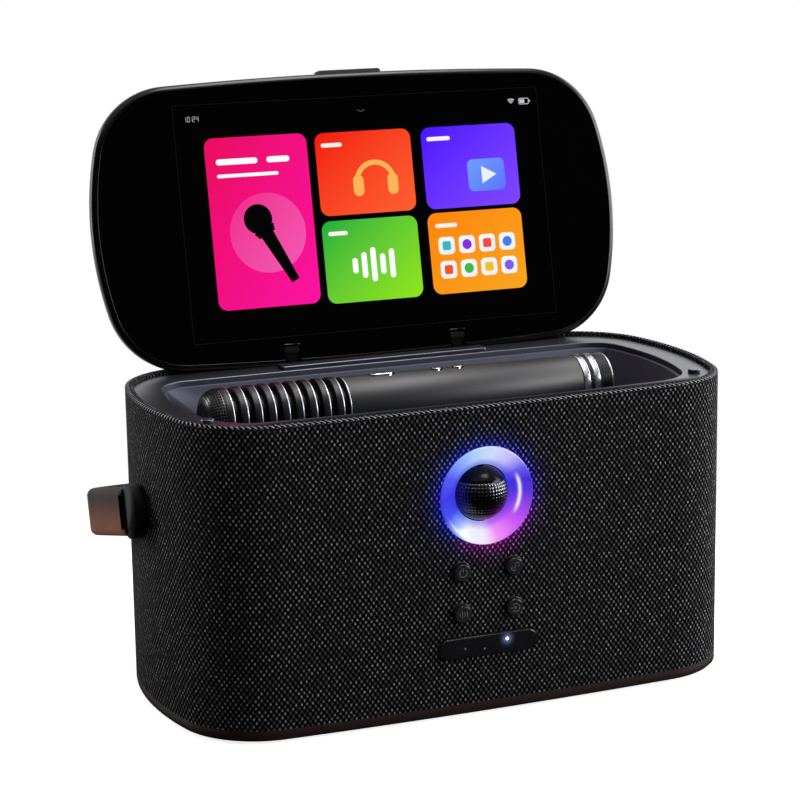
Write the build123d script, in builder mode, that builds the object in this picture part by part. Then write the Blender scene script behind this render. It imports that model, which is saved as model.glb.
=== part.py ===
"""Portable karaoke machine with a flip-up touch screen and a stored microphone.

A fabric-wrapped loudspeaker cabinet with a microphone well in its top, a lid that carries the
screen, a leather carrying handle on two side hubs, and a mirror ball in a lit ring at the front.
Millimetres. +X to the right of someone facing the front, +Y to the back, +Z up. The origin is on
the table, under the middle of the cabinet. Everything is built as it stands open and in use.
"""

from math import cos, radians, sin, sqrt, tan
import os

from build123d import *

os.makedirs("parts", exist_ok=True)

# ---------------------------------------------------------------- driving dimensions

# Cabinet, measured over the fabric
cabinet_length = 330.0
cabinet_depth = 172.0
cabinet_height = 171.0  # table to the fabric's top edge
front_bulge = 4.5  # how far the front and back bow out between the corners
end_bulge = 18.0
corner_radius = 48.0
fabric_thickness = 1.2
fabric_edge_round = 0.5
shell_wall = 3.0

# Clearances
seat_gap = 0.15  # between pieces that are fixed to each other
slide_gap = 0.25  # between a button or key and its guide
pin_gap = 0.05  # radial, round a pin or spindle
swing_gap = 0.8  # between a swinging piece and what it passes

# Base
foot_reach = 1.5  # foot below the pan
foot_inset = 26.0  # the foot is one rubber loop, this far inside the cabinet's outline
foot_width = 8.0
foot_height = 3.0
foot_chamfer = 0.5
band_height = 6.0  # bare edge of the pan below the fabric
pan_floor = 3.0
pan_chamfer = 1.0
upstand_height = 5.0
upstand_wall = 2.0
screw_radius = 1.6
screw_head_radius = 3.2
screw_head_height = 1.4
screw_length = 16.0
pillar_radius = 4.5
pillar_height = 15.5
pillar_overlap = 1.5  # how far a pillar runs into the shell's wall
pillar_end_inset = 69.0

# Top tray and microphone well
flange_thickness = 6.0
rim_drop = 2.0  # flat rim below the fabric's top edge
lip_width = 3.5
lip_drop = 0.2
lip_round = 0.8
well_rim = 20.0  # width of the flat rim at the ends and the front
well_back_rim = 33.0  # back edge of the well to the cabinet's back
well_corner = 18.0
ledge_width = 2.5
ledge_drop = 3.0
well_depth = 37.5  # fabric's top edge to the well's floor
well_draft = 22.0
tray_wall = 2.4
bumper_radius = 3.5
bumper_end_inset = 22.0
bumper_side_inset = 34.0
bumper_gap = 0.3
bumper_round = 0.6

# Lid
lid_inset = 2.0  # inside the cabinet's outline
lid_thickness = 12.0
lid_gap = 0.5  # closed lid above the fabric's top edge
lid_open_angle = 102.0
hinge_inset = 11.0  # hinge axis inside the cabinet's back
hinge_rise = 4.8  # hinge axis above the fabric's top edge
lid_front_round = 3.4
lid_back_round = 7.0
glass_inset = 3.5
glass_thickness = 1.8
lid_skin = 2.2
lid_frame_width = 9.0
hinge_block = 16.0  # solid width of the lid along its hinged edge
display_border_x = 51.0  # display inside the cabinet's outline
display_border_y = 18.0
display_thickness = 4.0
display_offset_x = 3.5
display_offset_y = 1.5
lid_board_length = 96.0
lid_board_width = 52.0
board_thickness = 1.6
tab_length = 40.0
tab_thickness = 5.0
tab_depth = 6.0
tab_reach = 2.0
tab_setback = 0.5
notch_side_gap = 0.35
notch_top_gap = 0.5
pin_grip = 0.02  # radial slack of a pin in the lid
lid_chip_height = 1.4
lid_chip_size = (15.0, 15.0)
lid_chip_spots = ((-24.0, 6.0), (6.0, 8.0))
lid_connector_size = (12.0, 22.0)
lid_connector_spot = (32.0, -6.0)

# Lid hinge
hinge_spacing = 104.0
knuckle_radius = 4.0
knuckle_width = 9.0
hinge_pin_radius = 1.95
pin_overhang = 8.0
post_depth = 7.0
leaf_length = 34.0
leaf_depth = 20.0
leaf_thickness = 2.5
trench_gap = 0.55
trench_end_rim = 38.0
cover_length = 128.0
cover_depth = 10.0
cover_rise = 2.1
cover_corner = 2.0
cover_round = 0.8

# Light ring and mirror ball
ring_drop = 49.0  # fabric's top edge to the ring's middle
ring_outer = 26.7
ring_inner = 16.7
ring_depth = 8.5  # outer edge to inner edge, front to back
ring_wall = 2.6
ring_proud = 1.2
ball_radius = 15.2
ball_setback = 9.0  # ball's centre behind the fabric's face
ball_columns = 28
ball_rows = 9
ball_band_top = 30.0  # latitude of the faceted band's upper and lower edge, degrees
ball_band_bottom = 37.0
spindle_radius = 1.2
ball_core_share = 0.985  # smooth caps inside the tiles
cup_gap = 0.3  # radial, between ring or ball and the cup
arm_gap = 0.4
chamber_depth = 5.0  # ring chamber's floor behind the ball's middle
yoke_width = 4.0
yoke_thickness = 0.9
housing_wall = 1.6
housing_flange = 3.0
housing_seat = 0.3  # housing behind the shell's inside
led_size = 3.0
led_height = 0.9
led_count = 12

# Front buttons and indicator window
button_radius = 4.7
button_proud = 2.6
button_travel = 0.6
button_spacing_x = 30.4
button_drop = 40.5  # ring's middle to the upper row
button_row_share = 0.455  # lower row's place between window and upper row
button_round = 0.5
button_stem_radius = 2.0
button_end_stop = 0.4
guide_wall = 0.7
button_flange = 1.2
window_length = 58.0
window_height = 11.5
window_corner = 5.0
window_proud = 1.5
window_share = 0.2298  # window's level over the cabinet's height
window_round = 0.8
frame_plate = 2.0
frame_seat = 0.6  # frame's plate behind the shell's inside
frame_ring_gap = 1.0
frame_width = 66.0
frame_corner = 4.0
frame_margin = 3.0  # frame plate past the window's edge
post_radius = 2.4
post_inset = 5.5
board_setback = 6.1
control_board_width = 62.0
indicator_bore = 1.1
indicator_size = (3.0, 2.0)
indicator_rise = 1.0
switch_size = 6.0
switch_plunger = 0.5
switch_plunger_radius = 1.7
switch_gap = 0.2
indicator_x = (-14.0, -2.6, 10.7)

# Loudspeakers
woofer_end_gap = 41.5  # woofer's edge inside the cabinet's end
woofer_side_gap = 3.5  # between the woofers and the control frame
woofer_share = 0.456  # woofers' level over the cabinet's height
woofer_seat = 6.5  # width of the pad that a basket's flange lies on
woofer_pad = 4.8
pad_margin = 2.0
basket_thickness = 1.5
basket_depth = 26.0
cone_depth = 15.0
cone_thickness = 1.0
dust_cap_radius = 11.0
surround_width = 5.0
surround_rise = 2.6
dust_cap_rise = 5.0
flange_margin = 1.0
surround_gap = 0.1
frame_inset = 2.5
frame_wall = 1.8
magnet_radius = 26.0
magnet_height = 12.0
magnet_chamfer = 1.0
magnet_step = 5.0
magnet_step_height = 2.0
vent_radius = 6.0
frame_window = (9.0, 15.0)
frame_windows = 6
radiator_rise = 57.0  # port panel's middle to the radiator's middle
radiator_radius = 36.0
radiator_seat = 7.0
radiator_thickness = 2.0
radiator_rim = 6.0
radiator_lap = 3.0
radiator_skin = 1.0
radiator_plate = 3.0
radiator_roll = (1.0, 4.5, 8.0)  # start, crest and end of the roll inside its rim
radiator_roll_rise = 3.4

# Rear port panel
panel_length = 96.0
panel_height = 30.0
panel_level = 40.0
panel_thickness = 2.5
panel_corner = 4.0
panel_overlap = 3.0  # how far the panel laps the shell inside
panel_recess = 1.2
panel_proud = 0.3
panel_seat = 0.75
recess_margin = (4.0, 5.0)
aux_x = 0.0
aux_radius = 1.8
usb_x = -26.0
usb_slot = (9.2, 3.3)
card_x = 26.0
card_slot = (12.0, 1.6)
socket_depth = 14.0
socket_back = 2.0
aux_body = (8.0, 7.0)
usb_body = (11.0, 6.0)
card_body = (15.0, 3.6)

# Inside the cabinet
cell_radius = 9.2
cell_length = 65.0
cell_count = 4
cell_spacing_gap = 1.0
cell_button = 1.2
battery_x = -58.0
rib_height = 7.0
rib_thickness = 2.4
tie_thickness = 3.0
tie_drop = 2.0
main_board_length = 104.0
main_board_width = 74.0
standoff_height = 6.0
standoff_radius = 3.0
standoff_inset = 5.0
board_middle_gap = 10.0
heat_sink_length = 36.0
heat_sink_width = 42.0
heat_sink_base = 3.0
heat_sink_rise = 14.0
heat_sink_fins = 7
heat_sink_fin = 1.6
heat_sink_edge = 1.0
capacitor_radius = 4.0
capacitor_height = 12.0
capacitor_edge = 8.0
capacitor_pitch = 16.0
chip_height = 1.8
chip_sizes = ((14.0, 14.0), (20.0, 10.0))
chip_x = 22.0  # chips before, and the heat sink behind, the board's middle
chip_y = 14.0

# Handle
pivot_drop = 59.0  # fabric's top edge to the handle's pivots
handle_droop = 14.0  # rest angle below level
strap_width = 27.0
strap_thickness = 9.0
strap_rear_gap = 37.5  # cabinet's back to the outside of the crossbar, along the strap
strap_bend = 49.0  # outside radius at the two back corners
strap_gap = 0.8  # strap and hubs outside the fabric
strap_edge_round = 4.2
hub_radius = 14.7
hub_round = 1.8
hub_thickness = 7.4
pivot_radius = 4.0
boss_radius = 11.5
tongue_length = 20.0
tongue_width = 15.0
tongue_thickness = 3.0
tongue_start = 6.0
boss_gap = 0.3
boss_overlap = 0.05
bolt_cover = 1.8
bolt_slack = 0.3
bolt_head_radius = 8.0
bolt_head_height = 3.2
bolt_head_gap = 0.35

# Microphone
mic_back_gap = 31.0  # microphone's axis before the well's back edge
mic_drop = 18.7  # microphone's axis below the fabric's top edge
mic_head_gap = 41.5  # head end inside the cabinet's end
mic_tail_gap = 40.7
mic_dome_length = 10.0
mic_tail_length = 20.8
mic_head_radius = 17.5
mic_front_radius = 17.0
mic_tail_radius = 16.3
mic_wall = 2.0
trim_starts = (20.5, 11.3)  # each bright ring's start and end before the tail's end
trim_ends = (13.3, 4.8)
trim_proud = 0.3
trim_thickness = 1.5
trim_gap = 0.02
tail_chamfer = (2.0, 1.6)
fin_pitch = 8.0
fin_width = 4.4
fin_root = 13.4
fin_count = 9
fin_round = 0.7
core_wall = 1.2
dome_wall = 2.0
dome_flat = 7.0
dome_outside = (0.74, 0.66)  # crown of the dome, over its length and its shoulder
dome_inside = (0.6, 0.55)
neck_length = 5.0
neck_wall = 3.0
bulkhead = (2.0, 3.0)
cable_radius = 4.0
foam_gap = 0.5
foam_end_gap = 6.0
foam_clearance = 0.3
foam_front = 6.0
capsule_start = 12.5
capsule_rim = 1.2
capsule_tail = 3.7
mic_board_size = (70.0, 14.0)
mic_board_drop = 5.0
mic_switch_size = 3.0
mic_switch_height = 0.5
mic_cell_gap = 0.3
mic_cell_drop = 0.2
power_key_start = 24.5  # from the barrel's start
power_key_length = 14.0
power_key_width = 6.0
round_key_radius = 2.6
round_key_starts = (58.5, 71.5)
key_proud = 0.7
key_gap = 0.2
key_round = 0.4
key_flange = 1.0
key_flange_height = 0.8
key_slack = 1.0
saddle_head_gap = 35.5  # from the grille's start
saddle_tail_gap = 21.5  # from the barrel's end
saddle_width = 8.0
saddle_depth = 23.8
saddle_height = 11.28

# ---------------------------------------------------------------- worked-out places

pan_bottom = foot_reach
band_top = pan_bottom + band_height
rim_level = cabinet_height - rim_drop
flange_bottom = rim_level - flange_thickness
shell_inset = fabric_thickness + shell_wall
front_face = cabinet_depth / 2
shell_inside = front_face - shell_inset
front_radius = ((cabinet_length / 2 - end_bulge) ** 2 + front_bulge**2) / (2 * front_bulge)

well_back = front_face - well_back_rim
well_floor = cabinet_height - well_depth
trench_half_length = cabinet_length / 2 - trench_end_rim
display_length = cabinet_length - 2 * display_border_x
display_width = cabinet_depth - 2 * display_border_y

ring_height = cabinet_height - ring_drop
window_level = window_share * cabinet_height
upper_row = ring_height - button_drop
lower_row = window_level + button_row_share * (upper_row - window_level)
woofer_radius = (cabinet_length / 2 - woofer_end_gap - frame_width / 2 - woofer_side_gap) / 2
woofer_opening = woofer_radius - woofer_seat
woofer_x = frame_width / 2 + woofer_side_gap + woofer_radius
woofer_z = woofer_share * cabinet_height
radiator_z = panel_level + radiator_rise
pivot_z = cabinet_height - pivot_drop
strap_reach = front_face + strap_rear_gap

mic_y = well_back - mic_back_gap
mic_z = cabinet_height - mic_drop
mic_head_end = mic_head_gap - cabinet_length / 2
mic_tail_end = cabinet_length / 2 - mic_tail_gap
mic_grille_start = mic_head_end + mic_dome_length
mic_barrel_start = mic_grille_start + fin_count * fin_pitch
mic_barrel_end = mic_tail_end - mic_tail_length
trim_spans = [(mic_tail_end - a, mic_tail_end - b) for a, b in zip(trim_starts, trim_ends)]
power_key_x = mic_barrel_start + power_key_start
round_key_x = [mic_barrel_start + start for start in round_key_starts]
saddle_x = (mic_grille_start + saddle_head_gap, mic_barrel_end - saddle_tail_gap)

hinge_y = front_face - hinge_inset
hinge_z = cabinet_height + hinge_rise
lid_closed = cabinet_height + lid_gap
glass_offset = hinge_z - lid_closed  # glass face in front of the hinge axis
lid_back = glass_offset - lid_thickness
lid_rear_reach = front_face - lid_inset - hinge_y
nose_centre = (lid_rear_reach - lid_back_round, lid_back + lid_back_round)
swept_radius = max(
    sqrt(nose_centre[0] ** 2 + nose_centre[1] ** 2) + lid_back_round,
    sqrt((lid_rear_reach - lid_front_round) ** 2 + (glass_offset - lid_front_round) ** 2)
    + lid_front_round,
)
trench_radius = swept_radius + trench_gap
lid_up = Vector(0, -cos(radians(lid_open_angle)), sin(radians(lid_open_angle)))
lid_normal = Vector(0, -lid_up.Z, lid_up.Y)
lid_centre = Vector(0, hinge_y, hinge_z) + lid_up * hinge_y


def bow(x):
    """How far the bowed front has fallen back at x from the middle."""
    return front_radius - sqrt(front_radius**2 - x**2)


def bows():
    """The cabinet's plan as a loop of four bows that meet at sharp corners."""
    half_x = cabinet_length / 2 - end_bulge
    half_y = cabinet_depth / 2 - front_bulge
    with BuildLine() as loop:
        ThreePointArc((-half_x, -half_y), (0, -cabinet_depth / 2), (half_x, -half_y))
        ThreePointArc((half_x, -half_y), (cabinet_length / 2, 0), (half_x, half_y))
        ThreePointArc((half_x, half_y), (0, cabinet_depth / 2), (-half_x, half_y))
        ThreePointArc((-half_x, half_y), (-cabinet_length / 2, 0), (-half_x, -half_y))
    return loop.edges()


def plan_form(inset, plane):
    """The cabinet's bowed, round-cornered plan, drawn in by inset, on plane."""
    with BuildSketch(plane) as form:
        make_face(bows())
        if inset:
            offset(amount=-inset, kind=Kind.INTERSECTION)
        fillet(form.vertices(), corner_radius - inset)
    return form.sketch


def level(height):
    """A level plane at height."""
    return Plane.XY.offset(height)


def front(distance):
    """A plane facing the front, at this distance before the middle."""
    return Plane.XZ.offset(distance)


def lid_plane(forward):
    """A plane of the open lid, centred on its outline, this far before the hinge axis."""
    return Plane(lid_centre + lid_normal * forward, x_dir=(1, 0, 0), z_dir=lid_normal)


def well_form(grow, height):
    """The microphone well's outline, drawn out by grow: the rim's line, cut straight at the back."""
    inset = well_rim - grow
    with BuildSketch(level(height)) as form:
        make_face(bows())
        offset(amount=-inset, kind=Kind.INTERSECTION)
        with Locations((0, well_back + grow - cabinet_depth / 2)):
            Rectangle(cabinet_length, cabinet_depth, mode=Mode.INTERSECT)
        fillet(form.vertices().sort_by(Axis.Y)[:2], corner_radius - inset)
        fillet(form.vertices().sort_by(Axis.Y)[-2:], well_corner + grow)
    return form.sketch


def across(x, y, z):
    """A plane across the X axis at x, with local x to the back and local y up."""
    return Plane((x, y, z), x_dir=(0, 1, 0), z_dir=(1, 0, 0))


def save(piece, name):
    """Label a finished piece and write it to parts."""
    piece.part.label = name
    export_step(piece.part, f"parts/{name}.step")


# ---------------------------------------------------------------- base

pillar_inset = shell_inset + pillar_radius - pillar_overlap
pillar_end = cabinet_length / 2 - pillar_end_inset
pillar_spots = [
    (side_x * x, side_y * (front_face - pillar_inset - bow(x)))
    for x in (0.0, pillar_end)
    for side_x in ((1,) if x == 0 else (-1, 1))
    for side_y in (-1, 1)
]

main_board_x = main_board_length / 2 + board_middle_gap
standoff_x = main_board_length / 2 - standoff_inset
standoff_y = main_board_width / 2 - standoff_inset
standoff_spots = [
    (main_board_x + x, y) for x in (-standoff_x, standoff_x) for y in (-standoff_y, standoff_y)
]
floor_top = pan_bottom + pan_floor
cell_pitch = 2 * cell_radius + cell_spacing_gap
cell_rows = [(row - (cell_count - 1) / 2) * cell_pitch for row in range(cell_count)]
cell_bed = floor_top + cell_spacing_gap

with BuildPart() as base_pan:
    extrude(plan_form(0, level(pan_bottom)), amount=band_height)
    chamfer(base_pan.faces().sort_by(Axis.Z)[0].edges(), pan_chamfer)
    extrude(
        plan_form(shell_inset + seat_gap, level(band_top)),
        amount=upstand_height,
    )
    extrude(
        plan_form(shell_inset + seat_gap + upstand_wall, level(floor_top)),
        amount=band_height + upstand_height,
        mode=Mode.SUBTRACT,
    )
    with BuildSketch(level(pan_bottom)):
        add(plan_form(foot_inset - seat_gap, Plane.XY))
        add(plan_form(foot_inset + foot_width + seat_gap, Plane.XY), mode=Mode.SUBTRACT)
    extrude(amount=foot_height - foot_reach, mode=Mode.SUBTRACT)
    with BuildSketch(level(floor_top)):
        with Locations(pillar_spots):
            Circle(pillar_radius + seat_gap)
    extrude(amount=band_height + upstand_height, mode=Mode.SUBTRACT)
    with Locations([Location((x, y, pan_bottom)) for x, y in pillar_spots]):
        Cylinder(
            screw_head_radius + seat_gap,
            screw_head_height,
            align=(Align.CENTER, Align.CENTER, Align.MIN),
            mode=Mode.SUBTRACT,
        )
        Cylinder(
            screw_radius + seat_gap,
            pan_floor,
            align=(Align.CENTER, Align.CENTER, Align.MIN),
            mode=Mode.SUBTRACT,
        )
    with BuildSketch(level(floor_top)):
        with Locations(standoff_spots):
            Circle(standoff_radius)
    extrude(amount=standoff_height)
    with BuildSketch(level(floor_top)):
        for row in cell_rows:
            for end in (-1, 1):
                with Locations((battery_x + end * (cell_length + tie_thickness) / 2, row)):
                    Rectangle(rib_thickness, 2 * cell_radius)
    extrude(amount=rib_height)
    with BuildSketch(level(floor_top)):
        for end in (-0.3, 0.3):
            with Locations((battery_x + end * cell_length, 0)):
                Rectangle(tie_thickness, cell_count * cell_pitch)
    extrude(amount=rib_height - tie_drop)
    for row in cell_rows:
        with BuildSketch(across(battery_x - cell_length / 2, row, cell_bed + cell_radius)):
            Circle(cell_radius + seat_gap)
        extrude(amount=cell_length, mode=Mode.SUBTRACT)
save(base_pan, "base_pan")

with BuildPart() as rubber_foot:
    with BuildSketch():
        add(plan_form(foot_inset, Plane.XY))
        add(plan_form(foot_inset + foot_width, Plane.XY), mode=Mode.SUBTRACT)
    extrude(amount=foot_height)
    chamfer(rubber_foot.faces().group_by(Axis.Z)[0].edges(), foot_chamfer)
save(rubber_foot, "rubber_foot")

with BuildPart() as base_screws:
    with BuildSketch(level(pan_bottom)):
        with Locations(pillar_spots):
            Circle(screw_head_radius)
    extrude(amount=screw_head_height - seat_gap)
    with BuildSketch(level(pan_bottom)):
        with Locations(pillar_spots):
            Circle(screw_radius)
    extrude(amount=screw_length)
save(base_screws, "base_screws")

with BuildPart() as battery_cells:
    for row in cell_rows:
        with BuildSketch(across(battery_x - cell_length / 2, row, cell_bed + cell_radius)):
            Circle(cell_radius)
        extrude(amount=cell_length - cell_button)
        button_start = battery_x + cell_length / 2 - cell_button
        with BuildSketch(across(button_start, row, cell_bed + cell_radius)):
            Circle(cell_radius / 3)
        extrude(amount=cell_button)
save(battery_cells, "battery_cells")

board_level = floor_top + standoff_height
board_top = board_level + board_thickness
capacitor_x = main_board_x - main_board_length / 2 + capacitor_edge
with BuildPart() as main_board:
    with BuildSketch(level(board_level)):
        with Locations((main_board_x, 0)):
            Rectangle(main_board_length, main_board_width)
    extrude(amount=board_thickness)
    with BuildSketch(level(board_top)):
        for side_y, chip_size in zip((1, -1), chip_sizes):
            with Locations((main_board_x - chip_x, side_y * chip_y)):
                Rectangle(*chip_size)
    extrude(amount=chip_height)
    with BuildSketch(level(board_top)):
        with Locations([(capacitor_x, k * capacitor_pitch) for k in (-1.5, -0.5, 0.5, 1.5)]):
            Circle(capacitor_radius)
    extrude(amount=capacitor_height)
save(main_board, "main_board")

heat_sink_x = main_board_x + chip_x
fin_step = (heat_sink_width - 2 * heat_sink_edge) / heat_sink_fins
fin_rows = [(fin + 0.5) * fin_step - heat_sink_width / 2 + heat_sink_edge for fin in range(heat_sink_fins)]
with BuildPart() as heat_sink:
    with BuildSketch(level(board_top)):
        with Locations((heat_sink_x, 0)):
            Rectangle(heat_sink_length, heat_sink_width)
    extrude(amount=heat_sink_base)
    with BuildSketch(level(board_top + heat_sink_base)):
        with Locations([(heat_sink_x, row) for row in fin_rows]):
            Rectangle(heat_sink_length, heat_sink_fin)
    extrude(amount=heat_sink_rise)
save(heat_sink, "heat_sink")

# ---------------------------------------------------------------- cabinet shell and fabric

button_x = button_spacing_x / 2
button_spots = [(x, z) for z in (upper_row, lower_row) for x in (-button_x, button_x)]
guide_radius = button_radius + slide_gap + guide_wall
woofer_spots = [(-woofer_x, woofer_z), (woofer_x, woofer_z)]
pad_plane = shell_inside - woofer_pad

with BuildPart() as speaker_pads:
    with BuildSketch(front(front_face)):
        with Locations(woofer_spots):
            Circle(woofer_radius + pad_margin)
            Circle(woofer_opening, mode=Mode.SUBTRACT)
    extrude(amount=-(front_face - pad_plane))
    with BuildSketch(front(-front_face)):
        with Locations((0, radiator_z)):
            Circle(radiator_radius + pad_margin)
            Circle(radiator_radius - radiator_seat, mode=Mode.SUBTRACT)
    extrude(amount=front_face - pad_plane)
    extrude(plan_form(fabric_thickness, level(0)), amount=flange_bottom, mode=Mode.INTERSECT)

with BuildPart() as cabinet_shell:
    extrude(plan_form(fabric_thickness, level(band_top)), amount=flange_bottom - band_top)
    extrude(
        plan_form(shell_inset, level(band_top)),
        amount=flange_bottom - band_top,
        mode=Mode.SUBTRACT,
    )
    add(speaker_pads.part)
    with BuildSketch(level(floor_top + seat_gap)):
        with Locations(pillar_spots):
            Circle(pillar_radius)
    extrude(amount=pillar_height)
    with Locations([Location((x, y, floor_top)) for x, y in pillar_spots]):
        Cylinder(
            screw_radius + seat_gap,
            screw_length,
            align=(Align.CENTER, Align.CENTER, Align.MIN),
            mode=Mode.SUBTRACT,
        )
    with BuildSketch(front(front_face)):
        with Locations(woofer_spots):
            Circle(woofer_opening)
        with Locations((0, ring_height)):
            Circle(ring_outer + seat_gap)
        with Locations(button_spots):
            Circle(guide_radius + seat_gap)
        with Locations((0, window_level)):
            RectangleRounded(
                window_length + 2 * seat_gap, window_height + 2 * seat_gap, window_corner
            )
    extrude(amount=-(front_face - pad_plane + 1), mode=Mode.SUBTRACT)
    with BuildSketch(front(-front_face)):
        with Locations((0, radiator_z)):
            Circle(radiator_radius - radiator_seat)
        with Locations((0, panel_level)):
            RectangleRounded(
                panel_length + 2 * seat_gap, panel_height + 2 * seat_gap, panel_corner
            )
    extrude(amount=front_face - pad_plane + 1, mode=Mode.SUBTRACT)
    with BuildSketch(across(-cabinet_length / 2, 0, pivot_z)):
        Circle(pivot_radius + pin_gap)
    extrude(amount=cabinet_length, mode=Mode.SUBTRACT)
save(cabinet_shell, "cabinet_shell")

with BuildPart() as fabric_sleeve:
    extrude(plan_form(0, level(band_top)), amount=cabinet_height - band_top)
    fillet(fabric_sleeve.faces().sort_by(Axis.Z)[-1].edges(), fabric_edge_round)
    extrude(
        plan_form(fabric_thickness, level(band_top)),
        amount=cabinet_height - band_top,
        mode=Mode.SUBTRACT,
    )
    with BuildSketch(front(front_face)):
        with Locations((0, ring_height)):
            Circle(ring_outer + seat_gap)
        with Locations(button_spots):
            Circle(guide_radius + seat_gap)
        with Locations((0, window_level)):
            RectangleRounded(
                window_length + 2 * seat_gap, window_height + 2 * seat_gap, window_corner
            )
    extrude(amount=-2 * fabric_thickness, mode=Mode.SUBTRACT)
    with BuildSketch(front(-front_face)):
        with Locations((0, panel_level)):
            RectangleRounded(
                panel_length + 2 * seat_gap, panel_height + 2 * seat_gap, panel_corner
            )
    extrude(amount=2 * fabric_thickness, mode=Mode.SUBTRACT)
    with BuildSketch(across(-cabinet_length / 2, 0, pivot_z)):
        Circle(boss_radius + seat_gap)
    extrude(amount=cabinet_length, mode=Mode.SUBTRACT)
save(fabric_sleeve, "fabric_sleeve")

# ---------------------------------------------------------------- top tray and microphone well

well_top = rim_level - ledge_drop
well_slope = tan(radians(well_draft))
bowl_bottom = well_floor - tray_wall
well_foot = -ledge_width - (well_top - well_floor) * well_slope
bowl_head = tray_wall / cos(radians(well_draft)) - ledge_width - (well_top - flange_bottom) * well_slope
bowl_foot = bowl_head - (flange_bottom - bowl_bottom) * well_slope
hinge_spots = (-hinge_spacing / 2, hinge_spacing / 2)

with BuildPart() as top_tray:
    extrude(
        plan_form(fabric_thickness, level(flange_bottom)),
        amount=cabinet_height - lip_drop - flange_bottom,
    )
    fillet(top_tray.faces().sort_by(Axis.Z)[-1].edges(), lip_round)
    extrude(
        plan_form(fabric_thickness + lip_width, level(rim_level)),
        amount=rim_drop,
        mode=Mode.SUBTRACT,
    )
    loft([well_form(bowl_foot, bowl_bottom), well_form(bowl_head, flange_bottom)], ruled=True)
    loft(
        [well_form(well_foot, well_floor), well_form(-ledge_width, well_top)],
        ruled=True,
        mode=Mode.SUBTRACT,
    )
    extrude(well_form(0, well_top), amount=ledge_drop, mode=Mode.SUBTRACT)
    with BuildSketch(across(-trench_half_length, hinge_y, hinge_z)):
        Circle(trench_radius)
    extrude(amount=2 * trench_half_length, mode=Mode.SUBTRACT)
    with BuildSketch(level(flange_bottom)):
        with Locations([(x, hinge_y) for x in hinge_spots]):
            Rectangle(knuckle_width + 2 * seat_gap, post_depth + 2 * seat_gap)
    extrude(amount=flange_thickness, mode=Mode.SUBTRACT)
save(top_tray, "top_tray")

bumper_x = cabinet_length / 2 - bumper_end_inset
with BuildPart() as rim_bumpers:
    with BuildSketch(level(rim_level)):
        with Locations([(side * bumper_x, bumper_side_inset - front_face) for side in (-1, 1)]):
            Circle(bumper_radius)
    extrude(amount=lid_closed - bumper_gap - rim_level)
    fillet(rim_bumpers.faces().group_by(Axis.Z)[-1].edges(), bumper_round)
save(rim_bumpers, "rim_bumpers")

trench_front = hinge_y - sqrt(trench_radius**2 - (hinge_z - rim_level) ** 2)
cover_y = (well_back + trench_front) / 2
with BuildPart() as hinge_cover:
    with BuildSketch(level(rim_level)):
        with Locations((0, cover_y)):
            RectangleRounded(cover_length, cover_depth, cover_corner)
    extrude(amount=cover_rise)
    fillet(hinge_cover.faces().sort_by(Axis.Z)[-1].edges(), cover_round)
save(hinge_cover, "hinge_cover")

leaf_y = hinge_y + post_depth / 2 - leaf_depth / 2
with BuildPart() as hinge_brackets:
    with BuildSketch(level(flange_bottom)):
        with Locations([(x, leaf_y) for x in hinge_spots]):
            Rectangle(leaf_length, leaf_depth)
    extrude(amount=-leaf_thickness)
    with BuildSketch(level(flange_bottom)):
        with Locations([(x, hinge_y) for x in hinge_spots]):
            Rectangle(knuckle_width, post_depth)
    extrude(amount=hinge_z - flange_bottom)
    for x in hinge_spots:
        with BuildSketch(across(x - knuckle_width / 2, hinge_y, hinge_z)):
            Circle(knuckle_radius)
        extrude(amount=knuckle_width)
    with BuildSketch(across(-hinge_spacing, hinge_y, hinge_z)):
        Circle(hinge_pin_radius + pin_gap)
    extrude(amount=2 * hinge_spacing, mode=Mode.SUBTRACT)
save(hinge_brackets, "hinge_brackets")

with BuildPart() as mic_saddles:
    for x, radius in ((saddle_x[0], mic_head_radius), (saddle_x[1], mic_front_radius)):
        with BuildSketch(level(well_floor)):
            with Locations((x, mic_y)):
                Rectangle(saddle_width, saddle_depth)
        extrude(amount=saddle_height)
        with BuildSketch(across(x - saddle_width, mic_y, mic_z)):
            Circle(radius + bumper_gap)
        extrude(amount=2 * saddle_width, mode=Mode.SUBTRACT)
save(mic_saddles, "mic_saddles")

# ---------------------------------------------------------------- lid

hinge_line = -hinge_y  # the hinge axis in the lid's own plane, below the lid's centre
lid_edge = front_face - lid_inset
glass_back = glass_offset - glass_thickness
notch_width = knuckle_width + 2 * (seat_gap + notch_side_gap)
notch_top = hinge_line + knuckle_radius + notch_top_gap
cavity_start = -lid_edge + hinge_block
display_centre = (display_offset_x, display_offset_y)
tab_front = glass_offset - lid_front_round - tab_setback


def lid_cavity(plane):
    """The hollow behind the screen: the lid's outline drawn in, and solid along the hinge."""
    with BuildSketch(plane) as form:
        add(plan_form(lid_inset + lid_frame_width, Plane.XY))
        with Locations((0, cavity_start + cabinet_depth / 2)):
            Rectangle(cabinet_length, cabinet_depth, mode=Mode.INTERSECT)
    return form.sketch


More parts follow.
